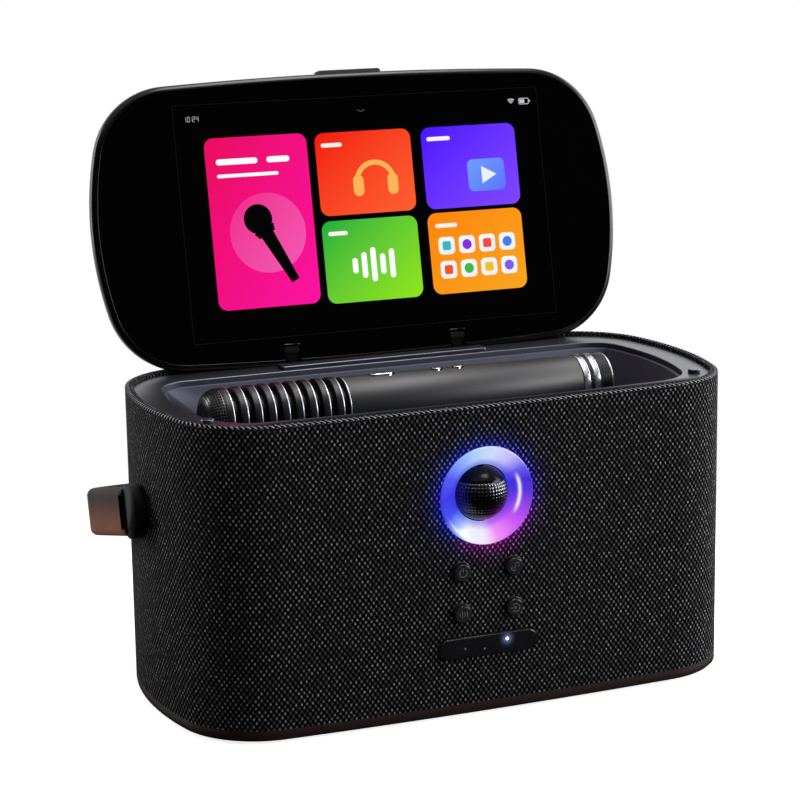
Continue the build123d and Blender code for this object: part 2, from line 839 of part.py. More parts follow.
with BuildPart() as lid_shell:
    extrude(plan_form(lid_inset, lid_plane(lid_back)), amount=lid_thickness)
    along_normal = Axis((0, 0, 0), lid_normal)
    fillet(lid_shell.faces().sort_by(along_normal)[-1].edges(), lid_front_round)
    fillet(lid_shell.faces().sort_by(along_normal)[0].edges(), lid_back_round)
    extrude(
        plan_form(lid_inset + glass_inset, lid_plane(glass_back)),
        amount=glass_thickness,
        mode=Mode.SUBTRACT,
    )
    extrude(
        lid_cavity(lid_plane(lid_back + lid_skin)),
        amount=glass_back - lid_back - lid_skin,
        mode=Mode.SUBTRACT,
    )
    with BuildSketch(lid_plane(lid_back)):
        with Locations([(x, (notch_top - cabinet_depth / 2) / 2) for x in hinge_spots]):
            Rectangle(notch_width, notch_top + cabinet_depth / 2)
    extrude(amount=lid_thickness, mode=Mode.SUBTRACT)
    for x in hinge_spots:
        with BuildSketch(across(x - knuckle_width - pin_overhang, hinge_y, hinge_z)):
            Circle(hinge_pin_radius + pin_grip)
        extrude(amount=2 * (knuckle_width + pin_overhang), mode=Mode.SUBTRACT)
    with BuildSketch(lid_plane(tab_front - tab_thickness - seat_gap)):
        with Locations((0, lid_edge)):
            Rectangle(tab_length + 2 * seat_gap, 2 * (tab_depth + seat_gap))
    extrude(amount=tab_thickness + 2 * seat_gap, mode=Mode.SUBTRACT)
save(lid_shell, "lid_shell")

with BuildPart() as cover_glass:
    extrude(
        plan_form(lid_inset + glass_inset + seat_gap, lid_plane(glass_back)),
        amount=glass_thickness,
    )
    with BuildSketch(lid_plane(glass_back)):
        with Locations([(x, (notch_top - cabinet_depth / 2) / 2) for x in hinge_spots]):
            Rectangle(notch_width, notch_top + cabinet_depth / 2)
    extrude(amount=glass_thickness, mode=Mode.SUBTRACT)
save(cover_glass, "cover_glass")

with BuildPart() as display_panel:
    with BuildSketch(lid_plane(glass_back)):
        with Locations(display_centre):
            Rectangle(display_length, display_width)
    extrude(amount=-display_thickness)
save(display_panel, "display_panel")

with BuildPart() as lid_board:
    with BuildSketch(lid_plane(glass_back - display_thickness)):
        Rectangle(lid_board_length, lid_board_width)
    extrude(amount=-board_thickness)
    with BuildSketch(lid_plane(glass_back - display_thickness - board_thickness)):
        with Locations(*lid_chip_spots):
            Rectangle(*lid_chip_size)
        with Locations(lid_connector_spot):
            Rectangle(*lid_connector_size)
    extrude(amount=-lid_chip_height)
save(lid_board, "lid_board")

with BuildPart() as lid_tab:
    with BuildSketch(lid_plane(tab_front - tab_thickness)):
        with Locations((0, lid_edge + (tab_reach - tab_depth) / 2)):
            Rectangle(tab_length, tab_depth + tab_reach)
    extrude(amount=tab_thickness)
    outer_corners = lid_tab.edges().filter_by(along_normal).sort_by(Axis.Z)[-2:]
    fillet(outer_corners, tab_reach)
save(lid_tab, "lid_tab")

with BuildPart() as hinge_pins:
    for x in hinge_spots:
        with BuildSketch(across(x - notch_width / 2 - pin_overhang, hinge_y, hinge_z)):
            Circle(hinge_pin_radius)
        extrude(amount=notch_width + 2 * pin_overhang)
save(hinge_pins, "hinge_pins")

# ---------------------------------------------------------------- light ring and mirror ball

ring_front = -front_face - ring_proud
ring_back = -front_face + ring_depth
ball_y = -front_face + ball_setback
housing_front = -shell_inside + housing_seat
chamber_radius = ring_outer + seat_gap
chamber_back = ball_y + chamber_depth
cup_radius = ring_inner + cup_gap
cup_back = ball_y + ball_radius + swing_gap
arm_inside = ball_radius + arm_gap
ring_axis = Axis((0, 0, ring_height), (0, 1, 0))
ball_place = (0, ball_y, ring_height)

with BuildPart() as light_ring:
    with BuildSketch(across(0, 0, ring_height)):
        with BuildLine():
            Polyline(
                (ring_front, ring_outer - ring_proud),
                (ring_back, ring_inner),
                (ring_back + ring_wall, ring_inner),
                (-shell_inside, ring_outer),
                (ring_front + ring_proud, ring_outer),
                close=True,
            )
        make_face()
    revolve(axis=ring_axis)
save(light_ring, "light_ring")

with BuildPart() as ring_housing:
    with BuildSketch(across(0, 0, ring_height)):
        with BuildLine():
            Polyline(
                (housing_front, chamber_radius),
                (housing_front, chamber_radius + housing_wall + housing_flange),
                (housing_front + housing_wall, chamber_radius + housing_wall + housing_flange),
                (housing_front + housing_wall, chamber_radius + housing_wall),
                (chamber_back + housing_wall, chamber_radius + housing_wall),
                (chamber_back + housing_wall, cup_radius + housing_wall),
                (cup_back + housing_wall, cup_radius + housing_wall),
                (cup_back + housing_wall, 0),
                (cup_back, 0),
                (cup_back, cup_radius),
                (chamber_back, cup_radius),
                (chamber_back, chamber_radius),
                close=True,
            )
        make_face()
    revolve(axis=ring_axis)
save(ring_housing, "ring_housing")

with BuildPart() as ring_board:
    with BuildSketch(Plane((0, chamber_back, ring_height), x_dir=(1, 0, 0), z_dir=(0, -1, 0))):
        Circle(ring_outer - seat_gap)
        Circle(cup_radius + seat_gap, mode=Mode.SUBTRACT)
    extrude(amount=board_thickness)
    with BuildSketch(
        Plane((0, chamber_back - board_thickness, ring_height), x_dir=(1, 0, 0), z_dir=(0, -1, 0))
    ):
        with PolarLocations((ring_outer + cup_radius) / 2, led_count):
            Rectangle(led_size, led_size)
    extrude(amount=led_height)
save(ring_board, "ring_board")

with BuildPart() as mirror_ball:
    with Locations(ball_place):
        Sphere(ball_core_share * ball_radius)
    for row in range(ball_rows + 1):
        latitude = -ball_band_bottom + row * (ball_band_bottom + ball_band_top) / ball_rows
        height = ball_radius * sin(radians(latitude))
        with BuildSketch(Plane((0, ball_y, ring_height + height), z_dir=(0, 0, 1))):
            RegularPolygon(ball_radius * cos(radians(latitude)), ball_columns)
    loft(ruled=True)
    with Locations(ball_place):
        Cylinder(spindle_radius + pin_grip, 2 * ball_radius, mode=Mode.SUBTRACT)
save(mirror_ball, "mirror_ball")

with BuildPart() as ball_spindle:
    with Locations(ball_place):
        Cylinder(spindle_radius, 2 * (arm_inside + yoke_thickness))
save(ball_spindle, "ball_spindle")

arm_outside = arm_inside + yoke_thickness
with BuildPart() as ball_yoke:
    for side in (-1, 1):
        with BuildSketch(across(-yoke_width / 2, 0, ring_height)):
            with BuildLine():
                Polyline(
                    (ball_y - yoke_width / 2, side * arm_inside),
                    (ball_y - yoke_width / 2, side * arm_outside),
                    (cup_back, side * arm_outside),
                    (cup_back, side * (arm_outside - yoke_width)),
                    (cup_back - yoke_thickness, side * (arm_outside - yoke_width)),
                    (cup_back - yoke_thickness, side * arm_inside),
                    close=True,
                )
            make_face()
        extrude(amount=yoke_width)
    with Locations(ball_place):
        Cylinder(spindle_radius + pin_gap, 3 * ball_radius, mode=Mode.SUBTRACT)
save(ball_yoke, "ball_yoke")

# ---------------------------------------------------------------- front controls

plate_front = shell_inside - frame_seat
plate_back = plate_front - frame_plate
plate_top = ring_height - chamber_radius - housing_wall - housing_flange - frame_ring_gap
plate_bottom = window_level - window_height / 2 - frame_margin
plate_middle = (plate_top + plate_bottom) / 2
board_front = plate_back - board_setback
post_x = frame_width / 2 - post_inset
post_rows = (plate_bottom + frame_corner, plate_top - frame_corner)
post_spots = [(side * post_x, z) for side in (-1, 1) for z in post_rows]
flange_front = plate_back - housing_seat
button_end = flange_front - button_flange - button_end_stop
switch_front = button_end - button_travel - switch_gap

with BuildPart() as control_frame:
    with BuildSketch(front(plate_front)):
        with Locations((0, plate_middle)):
            RectangleRounded(frame_width, plate_top - plate_bottom, frame_corner)
    extrude(amount=-frame_plate)
    with BuildSketch(front(plate_front)):
        with Locations(button_spots):
            Circle(guide_radius)
    extrude(amount=front_face - plate_front)
    with BuildSketch(front(plate_back)):
        with Locations(post_spots):
            Circle(post_radius)
    extrude(amount=-(plate_back - board_front))
    with BuildSketch(front(front_face)):
        with Locations(button_spots):
            Circle(button_radius + slide_gap)
        with Locations([(x, window_level) for x in indicator_x]):
            Circle(indicator_bore)
    extrude(amount=-(front_face - plate_back), mode=Mode.SUBTRACT)
save(control_frame, "control_frame")

with BuildPart() as indicator_window:
    with BuildSketch(front(plate_front)):
        with Locations((0, window_level)):
            RectangleRounded(window_length, window_height, window_corner)
    extrude(amount=front_face + window_proud - plate_front)
    fillet(indicator_window.faces().sort_by(Axis.Y)[0].edges(), window_round)
save(indicator_window, "indicator_window")

with BuildPart() as control_board:
    with BuildSketch(front(board_front)):
        with Locations((0, plate_middle)):
            Rectangle(control_board_width, plate_top - plate_bottom - 2 * frame_ring_gap)
    extrude(amount=-board_thickness)
    with BuildSketch(front(board_front)):
        with Locations([(x, window_level) for x in indicator_x]):
            Rectangle(*indicator_size)
    extrude(amount=indicator_rise)
save(control_board, "control_board")

with BuildPart() as button_switches:
    with BuildSketch(front(board_front)):
        with Locations(button_spots):
            Rectangle(switch_size, switch_size)
    extrude(amount=switch_front - board_front - switch_plunger)
    with BuildSketch(front(board_front)):
        with Locations(button_spots):
            Circle(switch_plunger_radius)
    extrude(amount=switch_front - board_front)
save(button_switches, "button_switches")

button_names = ("bass_button", "source_button", "power_button", "pairing_button")
for button_name, spot in zip(button_names, sorted(button_spots, key=lambda s: (s[1], s[0]))):
    with BuildPart() as button:
        with BuildSketch(front(flange_front)):
            with Locations(spot):
                Circle(button_radius)
        extrude(amount=front_face + button_proud - flange_front)
        fillet(button.faces().sort_by(Axis.Y)[0].edges(), button_round)
        with BuildSketch(front(flange_front)):
            with Locations(spot):
                Circle(guide_radius)
        extrude(amount=-button_flange)
        with BuildSketch(front(flange_front)):
            with Locations(spot):
                Circle(button_stem_radius)
        extrude(amount=-(flange_front - button_end))
    save(button, button_name)

# ---------------------------------------------------------------- loudspeakers

basket_front = -pad_plane
basket_back = basket_front + basket_depth
flange_inside = woofer_opening + flange_margin
frame_start = woofer_radius - frame_inset
basket_rim = magnet_radius - pad_margin
cone_front = basket_front + basket_thickness
cone_back = cone_front + cone_depth
roll_outside = woofer_opening
roll_inside = roll_outside - surround_width
frame_inside = frame_start - frame_wall
frame_slope = (frame_inside - basket_rim + flange_margin) / (basket_depth - 2 * basket_thickness)
surround_outside = frame_inside - frame_slope * cone_thickness - surround_gap
cap_sphere = (dust_cap_radius**2 + dust_cap_rise**2) / (2 * dust_cap_rise)
cap_middle = dust_cap_rise - cap_sphere + sqrt(cap_sphere**2 - (dust_cap_radius / 2) ** 2)
cone_edge = cone_front + cone_thickness
cap_front = cone_back - dust_cap_rise

for side, x in (("left", -woofer_x), ("right", woofer_x)):
    woofer_axis = Axis((x, 0, woofer_z), (0, 1, 0))
    with BuildPart() as woofer_basket:
        with BuildSketch(across(x, 0, woofer_z)):
            with BuildLine():
                Polyline(
                    (basket_front, flange_inside),
                    (basket_front, woofer_radius),
                    (cone_front, woofer_radius),
                    (cone_front, frame_start),
                    (basket_back, basket_rim),
                    (basket_back, vent_radius),
                    (basket_back - basket_thickness, vent_radius),
                    (basket_back - basket_thickness, basket_rim - flange_margin),
                    (cone_front, frame_inside),
                    (cone_front, flange_inside),
                    close=True,
                )
            make_face()
        revolve(axis=woofer_axis)
        with BuildSketch(Plane((x, basket_back, woofer_z), x_dir=(1, 0, 0), z_dir=(0, -1, 0))):
            with PolarLocations((magnet_radius + frame_start) / 2, frame_windows):
                Rectangle(*frame_window)
        extrude(amount=basket_depth - 3 * basket_thickness, mode=Mode.SUBTRACT)
    save(woofer_basket, f"woofer_basket_{side}")

    with BuildPart() as woofer_cone:
        with BuildSketch(across(x, 0, woofer_z)):
            with BuildLine():
                Line((cone_front, surround_outside), (cone_front, roll_outside))
                ThreePointArc(
                    (cone_front, roll_outside),
                    (cone_front - surround_rise, (roll_outside + roll_inside) / 2),
                    (cone_front, roll_inside),
                )
                Line((cone_front, roll_inside), (cone_back, dust_cap_radius))
                ThreePointArc(
                    (cone_back, dust_cap_radius),
                    (cone_back - cap_middle, dust_cap_radius / 2),
                    (cap_front, 0),
                )
                Line((cap_front, 0), (cap_front + cone_thickness, 0))
                ThreePointArc(
                    (cap_front + cone_thickness, 0),
                    (cone_back - cap_middle + cone_thickness, dust_cap_radius / 2),
                    (cone_back + cone_thickness, dust_cap_radius),
                )
                Polyline(
                    (cone_back + cone_thickness, dust_cap_radius),
                    (cone_edge, roll_inside - surround_rise / 4),
                    (cone_edge, roll_inside + cone_thickness),
                )
                ThreePointArc(
                    (cone_edge, roll_inside + cone_thickness),
                    (cone_edge - surround_rise, (roll_outside + roll_inside) / 2),
                    (cone_edge, roll_outside - cone_thickness),
                )
                Polyline(
                    (cone_edge, roll_outside - cone_thickness),
                    (cone_edge, surround_outside),
                    (cone_front, surround_outside),
                )
            make_face()
        revolve(axis=woofer_axis)
    save(woofer_cone, f"woofer_cone_{side}")

    with BuildPart() as woofer_magnet:
        with BuildSketch(Plane((x, basket_back, woofer_z), x_dir=(1, 0, 0), z_dir=(0, 1, 0))):
            Circle(magnet_radius)
        extrude(amount=magnet_height)
        chamfer(woofer_magnet.edges().filter_by(GeomType.CIRCLE), magnet_chamfer)
        with BuildSketch(
            Plane((x, basket_back + magnet_height, woofer_z), x_dir=(1, 0, 0), z_dir=(0, 1, 0))
        ):
            Circle(magnet_radius - magnet_step)
        extrude(amount=magnet_step_height)
    save(woofer_magnet, f"woofer_magnet_{side}")

radiator_axis = Axis((0, 0, radiator_z), (0, 1, 0))
radiator_inside = radiator_radius - radiator_rim
ring_face = pad_plane - radiator_thickness
skin_back = ring_face - radiator_skin
skin_front = ring_face + radiator_skin
roll_start, roll_crest, roll_end = (radiator_inside - along for along in radiator_roll)
with BuildPart() as radiator_frame:
    with BuildSketch(Plane((0, pad_plane, radiator_z), x_dir=(1, 0, 0), z_dir=(0, -1, 0))):
        Circle(radiator_radius)
        Circle(radiator_inside, mode=Mode.SUBTRACT)
    extrude(amount=radiator_thickness)
save(radiator_frame, "radiator_frame")

with BuildPart() as radiator_diaphragm:
    with BuildSketch(across(0, 0, radiator_z)):
        with BuildLine():
            Polyline(
                (skin_back, radiator_inside + radiator_lap),
                (ring_face, radiator_inside + radiator_lap),
                (ring_face, roll_start),
            )
            ThreePointArc(
                (ring_face, roll_start),
                (ring_face + radiator_roll_rise, roll_crest),
                (ring_face, roll_end),
            )
            Polyline(
                (ring_face, roll_end),
                (skin_front, roll_end - radiator_skin),
                (skin_front, 0),
                (skin_front - radiator_plate, 0),
                (skin_front - radiator_plate, roll_end),
                (skin_back, roll_end),
            )
            ThreePointArc(
                (skin_back, roll_end),
                (skin_back + radiator_roll_rise, roll_crest),
                (skin_back, roll_start),
            )
            Line((skin_back, roll_start), (skin_back, radiator_inside + radiator_lap))
        make_face()
    revolve(axis=radiator_axis)
save(radiator_diaphragm, "radiator_diaphragm")

# ---------------------------------------------------------------- rear ports

panel_face = front_face + panel_proud
panel_inside = shell_inside - panel_seat

with BuildPart() as port_panel:
    with BuildSketch(front(-panel_inside)):
        with Locations((0, panel_level)):
            RectangleRounded(panel_length, panel_height, panel_corner)
    extrude(amount=-(panel_face - panel_inside))
    with BuildSketch(front(-panel_inside)):
        with Locations((0, panel_level)):
            RectangleRounded(
                panel_length + 2 * panel_overlap,
                panel_height + 2 * panel_overlap,
                panel_corner + panel_overlap,
            )
    extrude(amount=panel_thickness)
    with BuildSketch(front(-panel_face)):
        with Locations((0, panel_level)):
            RectangleRounded(
                panel_length - 2 * recess_margin[0],
                panel_height - 2 * recess_margin[1],
                panel_corner,
            )
    extrude(amount=panel_recess, mode=Mode.SUBTRACT)
    with BuildSketch(front(-panel_face)):
        with Locations((aux_x, panel_level)):
            Circle(aux_radius)
        with Locations((usb_x, panel_level)):
            SlotOverall(*usb_slot)
        with Locations((card_x, panel_level)):
            Rectangle(*card_slot)
    extrude(amount=panel_face - panel_inside + panel_thickness, mode=Mode.SUBTRACT)
save(port_panel, "port_panel")

socket_face = panel_inside - panel_thickness
with BuildPart() as port_sockets:
    with BuildSketch(front(-socket_face)):
        with Locations((aux_x, panel_level)):
            Rectangle(*aux_body)
        with Locations((usb_x, panel_level)):
            Rectangle(*usb_body)
        with Locations((card_x, panel_level)):
            Rectangle(*card_body)
    extrude(amount=socket_depth)
    with BuildSketch(front(-socket_face)):
        with Locations((aux_x, panel_level)):
            Circle(aux_radius)
        with Locations((usb_x, panel_level)):
            SlotOverall(*usb_slot)
        with Locations((card_x, panel_level)):
            Rectangle(*card_slot)
    extrude(amount=socket_depth - socket_back, mode=Mode.SUBTRACT)
save(port_sockets, "port_sockets")

# ---------------------------------------------------------------- carrying handle

end_face = cabinet_length / 2
boss_inside = end_face - fabric_thickness + boss_overlap
hub_inside = end_face + strap_gap
boss_outside = hub_inside - boss_gap
bolt_end = hub_inside + hub_thickness - bolt_cover
head_face = end_face - shell_inset - bolt_head_gap
handle_plane = Plane(
    (0, 0, pivot_z),
    x_dir=(1, 0, 0),
    z_dir=(0, sin(radians(handle_droop)), cos(radians(handle_droop))),
)

with BuildPart() as pivot_bosses:
    for side in (-1, 1):
        with BuildSketch(across(side * boss_inside, 0, pivot_z)):
            Circle(boss_radius)
            Circle(pivot_radius + pin_gap, mode=Mode.SUBTRACT)
        extrude(amount=side * (boss_outside - boss_inside))
save(pivot_bosses, "pivot_bosses")

with BuildPart() as pivot_bolts:
    for side in (-1, 1):
        with BuildSketch(across(side * head_face, 0, pivot_z)):
            Circle(pivot_radius)
        extrude(amount=side * (bolt_end - head_face))
        with BuildSketch(across(side * head_face, 0, pivot_z)):
            RegularPolygon(bolt_head_radius, 6)
        extrude(amount=-side * bolt_head_height)
save(pivot_bolts, "pivot_bolts")

strap_inside = hub_inside
strap_outside = strap_inside + strap_thickness
tongue_x = (strap_inside + strap_outside) / 2
tongue_middle = (hub_radius + tongue_length + tongue_start) / 2
tongue_span = hub_radius + tongue_length - tongue_start
for side_name, side in (("left", -1), ("right", 1)):
    with BuildPart() as handle_hub:
        with BuildSketch(across(side * hub_inside, 0, pivot_z)):
            Circle(hub_radius)
        extrude(amount=side * hub_thickness)
        fillet(handle_hub.faces().sort_by(Axis.X)[(side - 1) // 2].edges(), hub_round)
        with BuildSketch(handle_plane):
            with Locations((side * tongue_x, tongue_middle)):
                Rectangle(tongue_thickness, tongue_span)
        extrude(amount=tongue_width / 2, both=True)
        with BuildSketch(across(side * hub_inside, 0, pivot_z)):
            Circle(pivot_radius + pin_gap)
        extrude(amount=side * (hub_thickness - bolt_cover + bolt_slack), mode=Mode.SUBTRACT)
    save(handle_hub, f"handle_hub_{side_name}")

with BuildPart() as handle_strap:
    with BuildSketch(handle_plane):
        with BuildLine():
            FilletPolyline(
                (strap_outside, 0),
                (strap_outside, strap_reach),
                (-strap_outside, strap_reach),
                (-strap_outside, 0),
                radius=strap_bend,
            )
            FilletPolyline(
                (strap_inside, 0),
                (strap_inside, strap_reach - strap_thickness),
                (-strap_inside, strap_reach - strap_thickness),
                (-strap_inside, 0),
                radius=strap_bend - strap_thickness,
            )
            Line((strap_inside, 0), (strap_outside, 0))
            Line((-strap_inside, 0), (-strap_outside, 0))
        make_face()
    extrude(amount=strap_width / 2, both=True)
    strap_sides = Axis((0, 0, 0), handle_plane.z_dir)
    fillet(handle_strap.faces().sort_by(strap_sides)[-1].edges(), strap_edge_round)
    fillet(handle_strap.faces().sort_by(strap_sides)[0].edges(), strap_edge_round)
    with BuildSketch(across(-cabinet_length, 0, pivot_z)):
        Circle(hub_radius + seat_gap)
    extrude(amount=2 * cabinet_length, mode=Mode.SUBTRACT)
    with BuildSketch(handle_plane):
        with Locations([(side * tongue_x, tongue_middle) for side in (-1, 1)]):
            Rectangle(tongue_thickness + 2 * seat_gap, tongue_span + 2 * seat_gap)
    extrude(amount=tongue_width / 2 + seat_gap, both=True, mode=Mode.SUBTRACT)
save(handle_strap, "handle_strap")

# ---------------------------------------------------------------- microphone

mic_plane = Plane((0, mic_y, mic_z), x_dir=(1, 0, 0), z_dir=(0, -1, 0))
mic_axis = Axis((0, mic_y, mic_z), (1, 0, 0))
core_radius = fin_root - core_wall
dome_shoulder = mic_head_radius - dome_flat
dome_crown, dome_hollow = (
    (mic_grille_start - along * mic_dome_length, dome_flat + out * dome_shoulder)
    for along, out in (dome_outside, dome_inside)
)


def barrel_radius(x):
    """The barrel's outside radius, which tapers towards the tail."""
    along = (x - mic_barrel_start) / (mic_barrel_end - mic_barrel_start)
    return mic_front_radius + along * (mic_tail_radius - mic_front_radius)


with BuildPart() as mic_grille:
    with BuildSketch(mic_plane):
        with Locations(((mic_grille_start + mic_barrel_start) / 2, (fin_root + core_radius) / 2)):
            Rectangle(mic_barrel_start - mic_grille_start, fin_root - core_radius)
        for fin in range(fin_count):
            fin_start = mic_grille_start + fin * fin_pitch
            with Locations((fin_start + fin_width / 2, (mic_head_radius + core_radius) / 2)):
                Rectangle(fin_width, mic_head_radius - core_radius)
    revolve(axis=mic_axis)
    crests = mic_grille.edges().filter_by(GeomType.CIRCLE)
    fillet(crests.filter_by(lambda edge: edge.radius > mic_head_radius - fin_round), fin_round)
save(mic_grille, "mic_grille")

with BuildPart() as mic_dome:
    with BuildSketch(mic_plane):
        with BuildLine():
            ThreePointArc(
                (mic_grille_start, mic_head_radius),
                dome_crown,
                (mic_head_end, dome_flat),
            )
            Polyline(
                (mic_head_end, dome_flat),
                (mic_head_end, 0),
                (mic_head_end + dome_wall, 0),
                (mic_head_end + dome_wall, dome_flat),
            )
            ThreePointArc(
                (mic_head_end + dome_wall, dome_flat),
                dome_hollow,
                (mic_grille_start, mic_head_radius - dome_wall),
            )
            Line((mic_grille_start, mic_head_radius - dome_wall), (mic_grille_start, mic_head_radius))
        make_face()
    revolve(axis=mic_axis)
save(mic_dome, "mic_dome")

foam_start = mic_grille_start + foam_gap
foam_end = mic_barrel_start - foam_end_gap
foam_length = foam_end - foam_start
foam_middle = (foam_start + foam_end) / 2
with BuildPart() as mic_foam:
    with BuildSketch(mic_plane):
        with Locations((foam_middle, core_radius / 2)):
            Rectangle(foam_length, core_radius - foam_clearance)
        with Locations((foam_middle + foam_front, core_radius / 4)):
            Rectangle(foam_length, core_radius / 2 + neck_wall, mode=Mode.SUBTRACT)
    revolve(axis=mic_axis)
save(mic_foam, "mic_foam")

with BuildPart() as mic_capsule:
    with BuildSketch(across(foam_start + capsule_start, mic_y, mic_z)):
        Circle(core_radius / 2 + capsule_rim)
    extrude(amount=foam_length - capsule_start + capsule_tail)
save(mic_capsule, "mic_capsule")

with BuildPart() as mic_barrel:
    with BuildSketch(mic_plane):
        with BuildLine():
            Polyline(
                (mic_barrel_start - neck_length, core_radius - seat_gap),
                (mic_barrel_start, core_radius - seat_gap),
                (mic_barrel_start, mic_front_radius),
                (mic_barrel_end, mic_tail_radius),
                (mic_barrel_end, mic_tail_radius - mic_wall),
                (mic_barrel_start + bulkhead[1], mic_front_radius - mic_wall),
                (mic_barrel_start + bulkhead[1], cable_radius),
                (mic_barrel_start - bulkhead[0], cable_radius),
                (mic_barrel_start - bulkhead[0], core_radius - neck_wall),
                (mic_barrel_start - neck_length, core_radius - neck_wall),
                close=True,
            )
        make_face()
    revolve(axis=mic_axis)
    with BuildSketch(level(mic_z + mic_front_radius / 2)):
        with Locations((power_key_x, mic_y)):
            SlotOverall(power_key_length + 2 * key_gap, power_key_width + 2 * key_gap)
        with Locations([(x, mic_y) for x in round_key_x]):
            Circle(round_key_radius + key_gap)
    extrude(amount=mic_front_radius, mode=Mode.SUBTRACT)
save(mic_barrel, "mic_barrel")

trim_middle = mic_tail_radius + trim_proud - trim_thickness / 2
with BuildPart() as mic_trim_rings:
    with BuildSketch(mic_plane):
        for start, end in trim_spans:
            with Locations(((start + end) / 2, trim_middle)):
                Rectangle(end - start, trim_thickness)
    revolve(axis=mic_axis)
save(mic_trim_rings, "mic_trim_rings")

sleeve_radius = mic_tail_radius + trim_proud - trim_thickness - trim_gap
with BuildPart() as mic_tail:
    with BuildSketch(mic_plane):
        with BuildLine():
            Polyline(
                (mic_barrel_end, 0),
                (mic_barrel_end, sleeve_radius),
                (trim_spans[0][1], sleeve_radius),
                (trim_spans[0][1], mic_tail_radius),
                (trim_spans[1][0], mic_tail_radius),
                (trim_spans[1][0], sleeve_radius),
                (trim_spans[1][1], sleeve_radius),
                (trim_spans[1][1], mic_tail_radius),
                (mic_tail_end - tail_chamfer[0], mic_tail_radius),
                (mic_tail_end, mic_tail_radius - tail_chamfer[1]),
                (mic_tail_end, 0),
                close=True,
            )
        make_face()
    revolve(axis=mic_axis)
save(mic_tail, "mic_tail")

mic_board_level = mic_z + mic_front_radius - mic_wall - mic_board_drop
with BuildPart() as mic_board:
    with BuildSketch(level(mic_board_level)):
        with Locations(((power_key_x + round_key_x[1]) / 2, mic_y)):
            Rectangle(*mic_board_size)
    extrude(amount=board_thickness)
    with BuildSketch(level(mic_board_level + board_thickness)):
        with Locations([(x, mic_y) for x in (power_key_x, *round_key_x)]):
            Rectangle(mic_switch_size, mic_switch_size)
    extrude(amount=mic_switch_height)
save(mic_board, "mic_board")

mic_cell_x = mic_barrel_start + bulkhead[1] + mic_cell_gap
with BuildPart() as mic_battery:
    with BuildSketch(across(mic_cell_x, mic_y, mic_board_level - cell_radius - mic_cell_drop)):
        Circle(cell_radius)
    extrude(amount=cell_length)
save(mic_battery, "mic_battery")

key_flange_top = mic_z + mic_front_radius - mic_wall - key_slack
key_bottom = key_flange_top - key_flange_height
with BuildPart() as mic_power_key:
    with BuildSketch(level(key_bottom)):
        with Locations((power_key_x, mic_y)):
            SlotOverall(power_key_length, power_key_width)
    extrude(amount=mic_z + barrel_radius(power_key_x) + key_proud - key_bottom)
    fillet(mic_power_key.faces().sort_by(Axis.Z)[-1].edges(), key_round)
    with BuildSketch(level(key_bottom)):
        with Locations((power_key_x, mic_y)):
            SlotOverall(power_key_length + 2 * key_flange, power_key_width + 2 * key_flange)
    extrude(amount=key_flange_height)
save(mic_power_key, "mic_power_key")

for key_name, x in zip(("mic_echo_key", "mic_volume_key"), round_key_x):
    with BuildPart() as round_key:
        with BuildSketch(level(key_bottom)):
            with Locations((x, mic_y)):
                Circle(round_key_radius)
        extrude(amount=mic_z + barrel_radius(x) + key_proud - key_bottom)
        fillet(round_key.faces().sort_by(Axis.Z)[-1].edges(), key_round)
        with BuildSketch(level(key_bottom)):
            with Locations((x, mic_y)):
                Circle(round_key_radius + key_flange)
        extrude(amount=key_flange_height)
    save(round_key, key_name)
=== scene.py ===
"""Looks of a portable karaoke machine: cloth cabinet, screen lid, microphone, lit ring and handle.

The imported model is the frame. Each sub-assembly is a class that holds its sizes in millimetres and
builds its own surfaces; a surface is a numpy grid, either an outline carried along a profile or a
profile turned about an axis. Every finish is a frozen dataclass named for the real material.
"""

import logging
import math
from dataclasses import dataclass, field, replace
from enum import Enum

import bmesh
import bpy
import numpy as np
from mathutils import Matrix, Vector


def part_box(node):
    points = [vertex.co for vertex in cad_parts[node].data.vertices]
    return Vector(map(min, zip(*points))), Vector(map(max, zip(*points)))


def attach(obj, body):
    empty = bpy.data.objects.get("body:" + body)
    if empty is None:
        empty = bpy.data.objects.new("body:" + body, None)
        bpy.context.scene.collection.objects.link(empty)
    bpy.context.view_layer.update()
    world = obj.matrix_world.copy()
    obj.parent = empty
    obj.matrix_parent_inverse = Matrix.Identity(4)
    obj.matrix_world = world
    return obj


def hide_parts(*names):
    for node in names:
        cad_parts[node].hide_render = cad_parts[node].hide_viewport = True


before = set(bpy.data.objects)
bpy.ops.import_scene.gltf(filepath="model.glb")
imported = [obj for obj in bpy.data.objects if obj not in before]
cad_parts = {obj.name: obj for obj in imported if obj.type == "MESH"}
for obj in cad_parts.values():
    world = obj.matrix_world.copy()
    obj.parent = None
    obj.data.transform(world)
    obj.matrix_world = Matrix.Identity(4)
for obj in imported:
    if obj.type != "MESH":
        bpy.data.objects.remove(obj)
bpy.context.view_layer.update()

MM = 0.001
LOG = logging.getLogger("karaoke")

BUTTONS = ("power_button", "pairing_button", "bass_button", "source_button")
MIC_KEYS = ("mic_power_key", "mic_echo_key", "mic_volume_key")
HINGE = (75.0, 175.8)  # the lid's axis: its place along Y and its height
KNUCKLES = (-52.0, 52.0)  # places of the hinge's knuckles along that axis
RING_CENTRE = (0.0, 0.0, 122.0)

Piece = bpy.types.Object
Tree = bpy.types.NodeTree
Socket = bpy.types.NodeSocket
Inputs = dict[str, object]
Profile = list[tuple[float, float]]


# ---------------------------------------------------------------- outlines and grids


@dataclass(frozen=True)
class Arc:
    """A piece of an outline: centre, radius, and start and end angle in degrees."""

    x: float
    y: float
    radius: float
    start: float
    end: float
    steps: int = 12


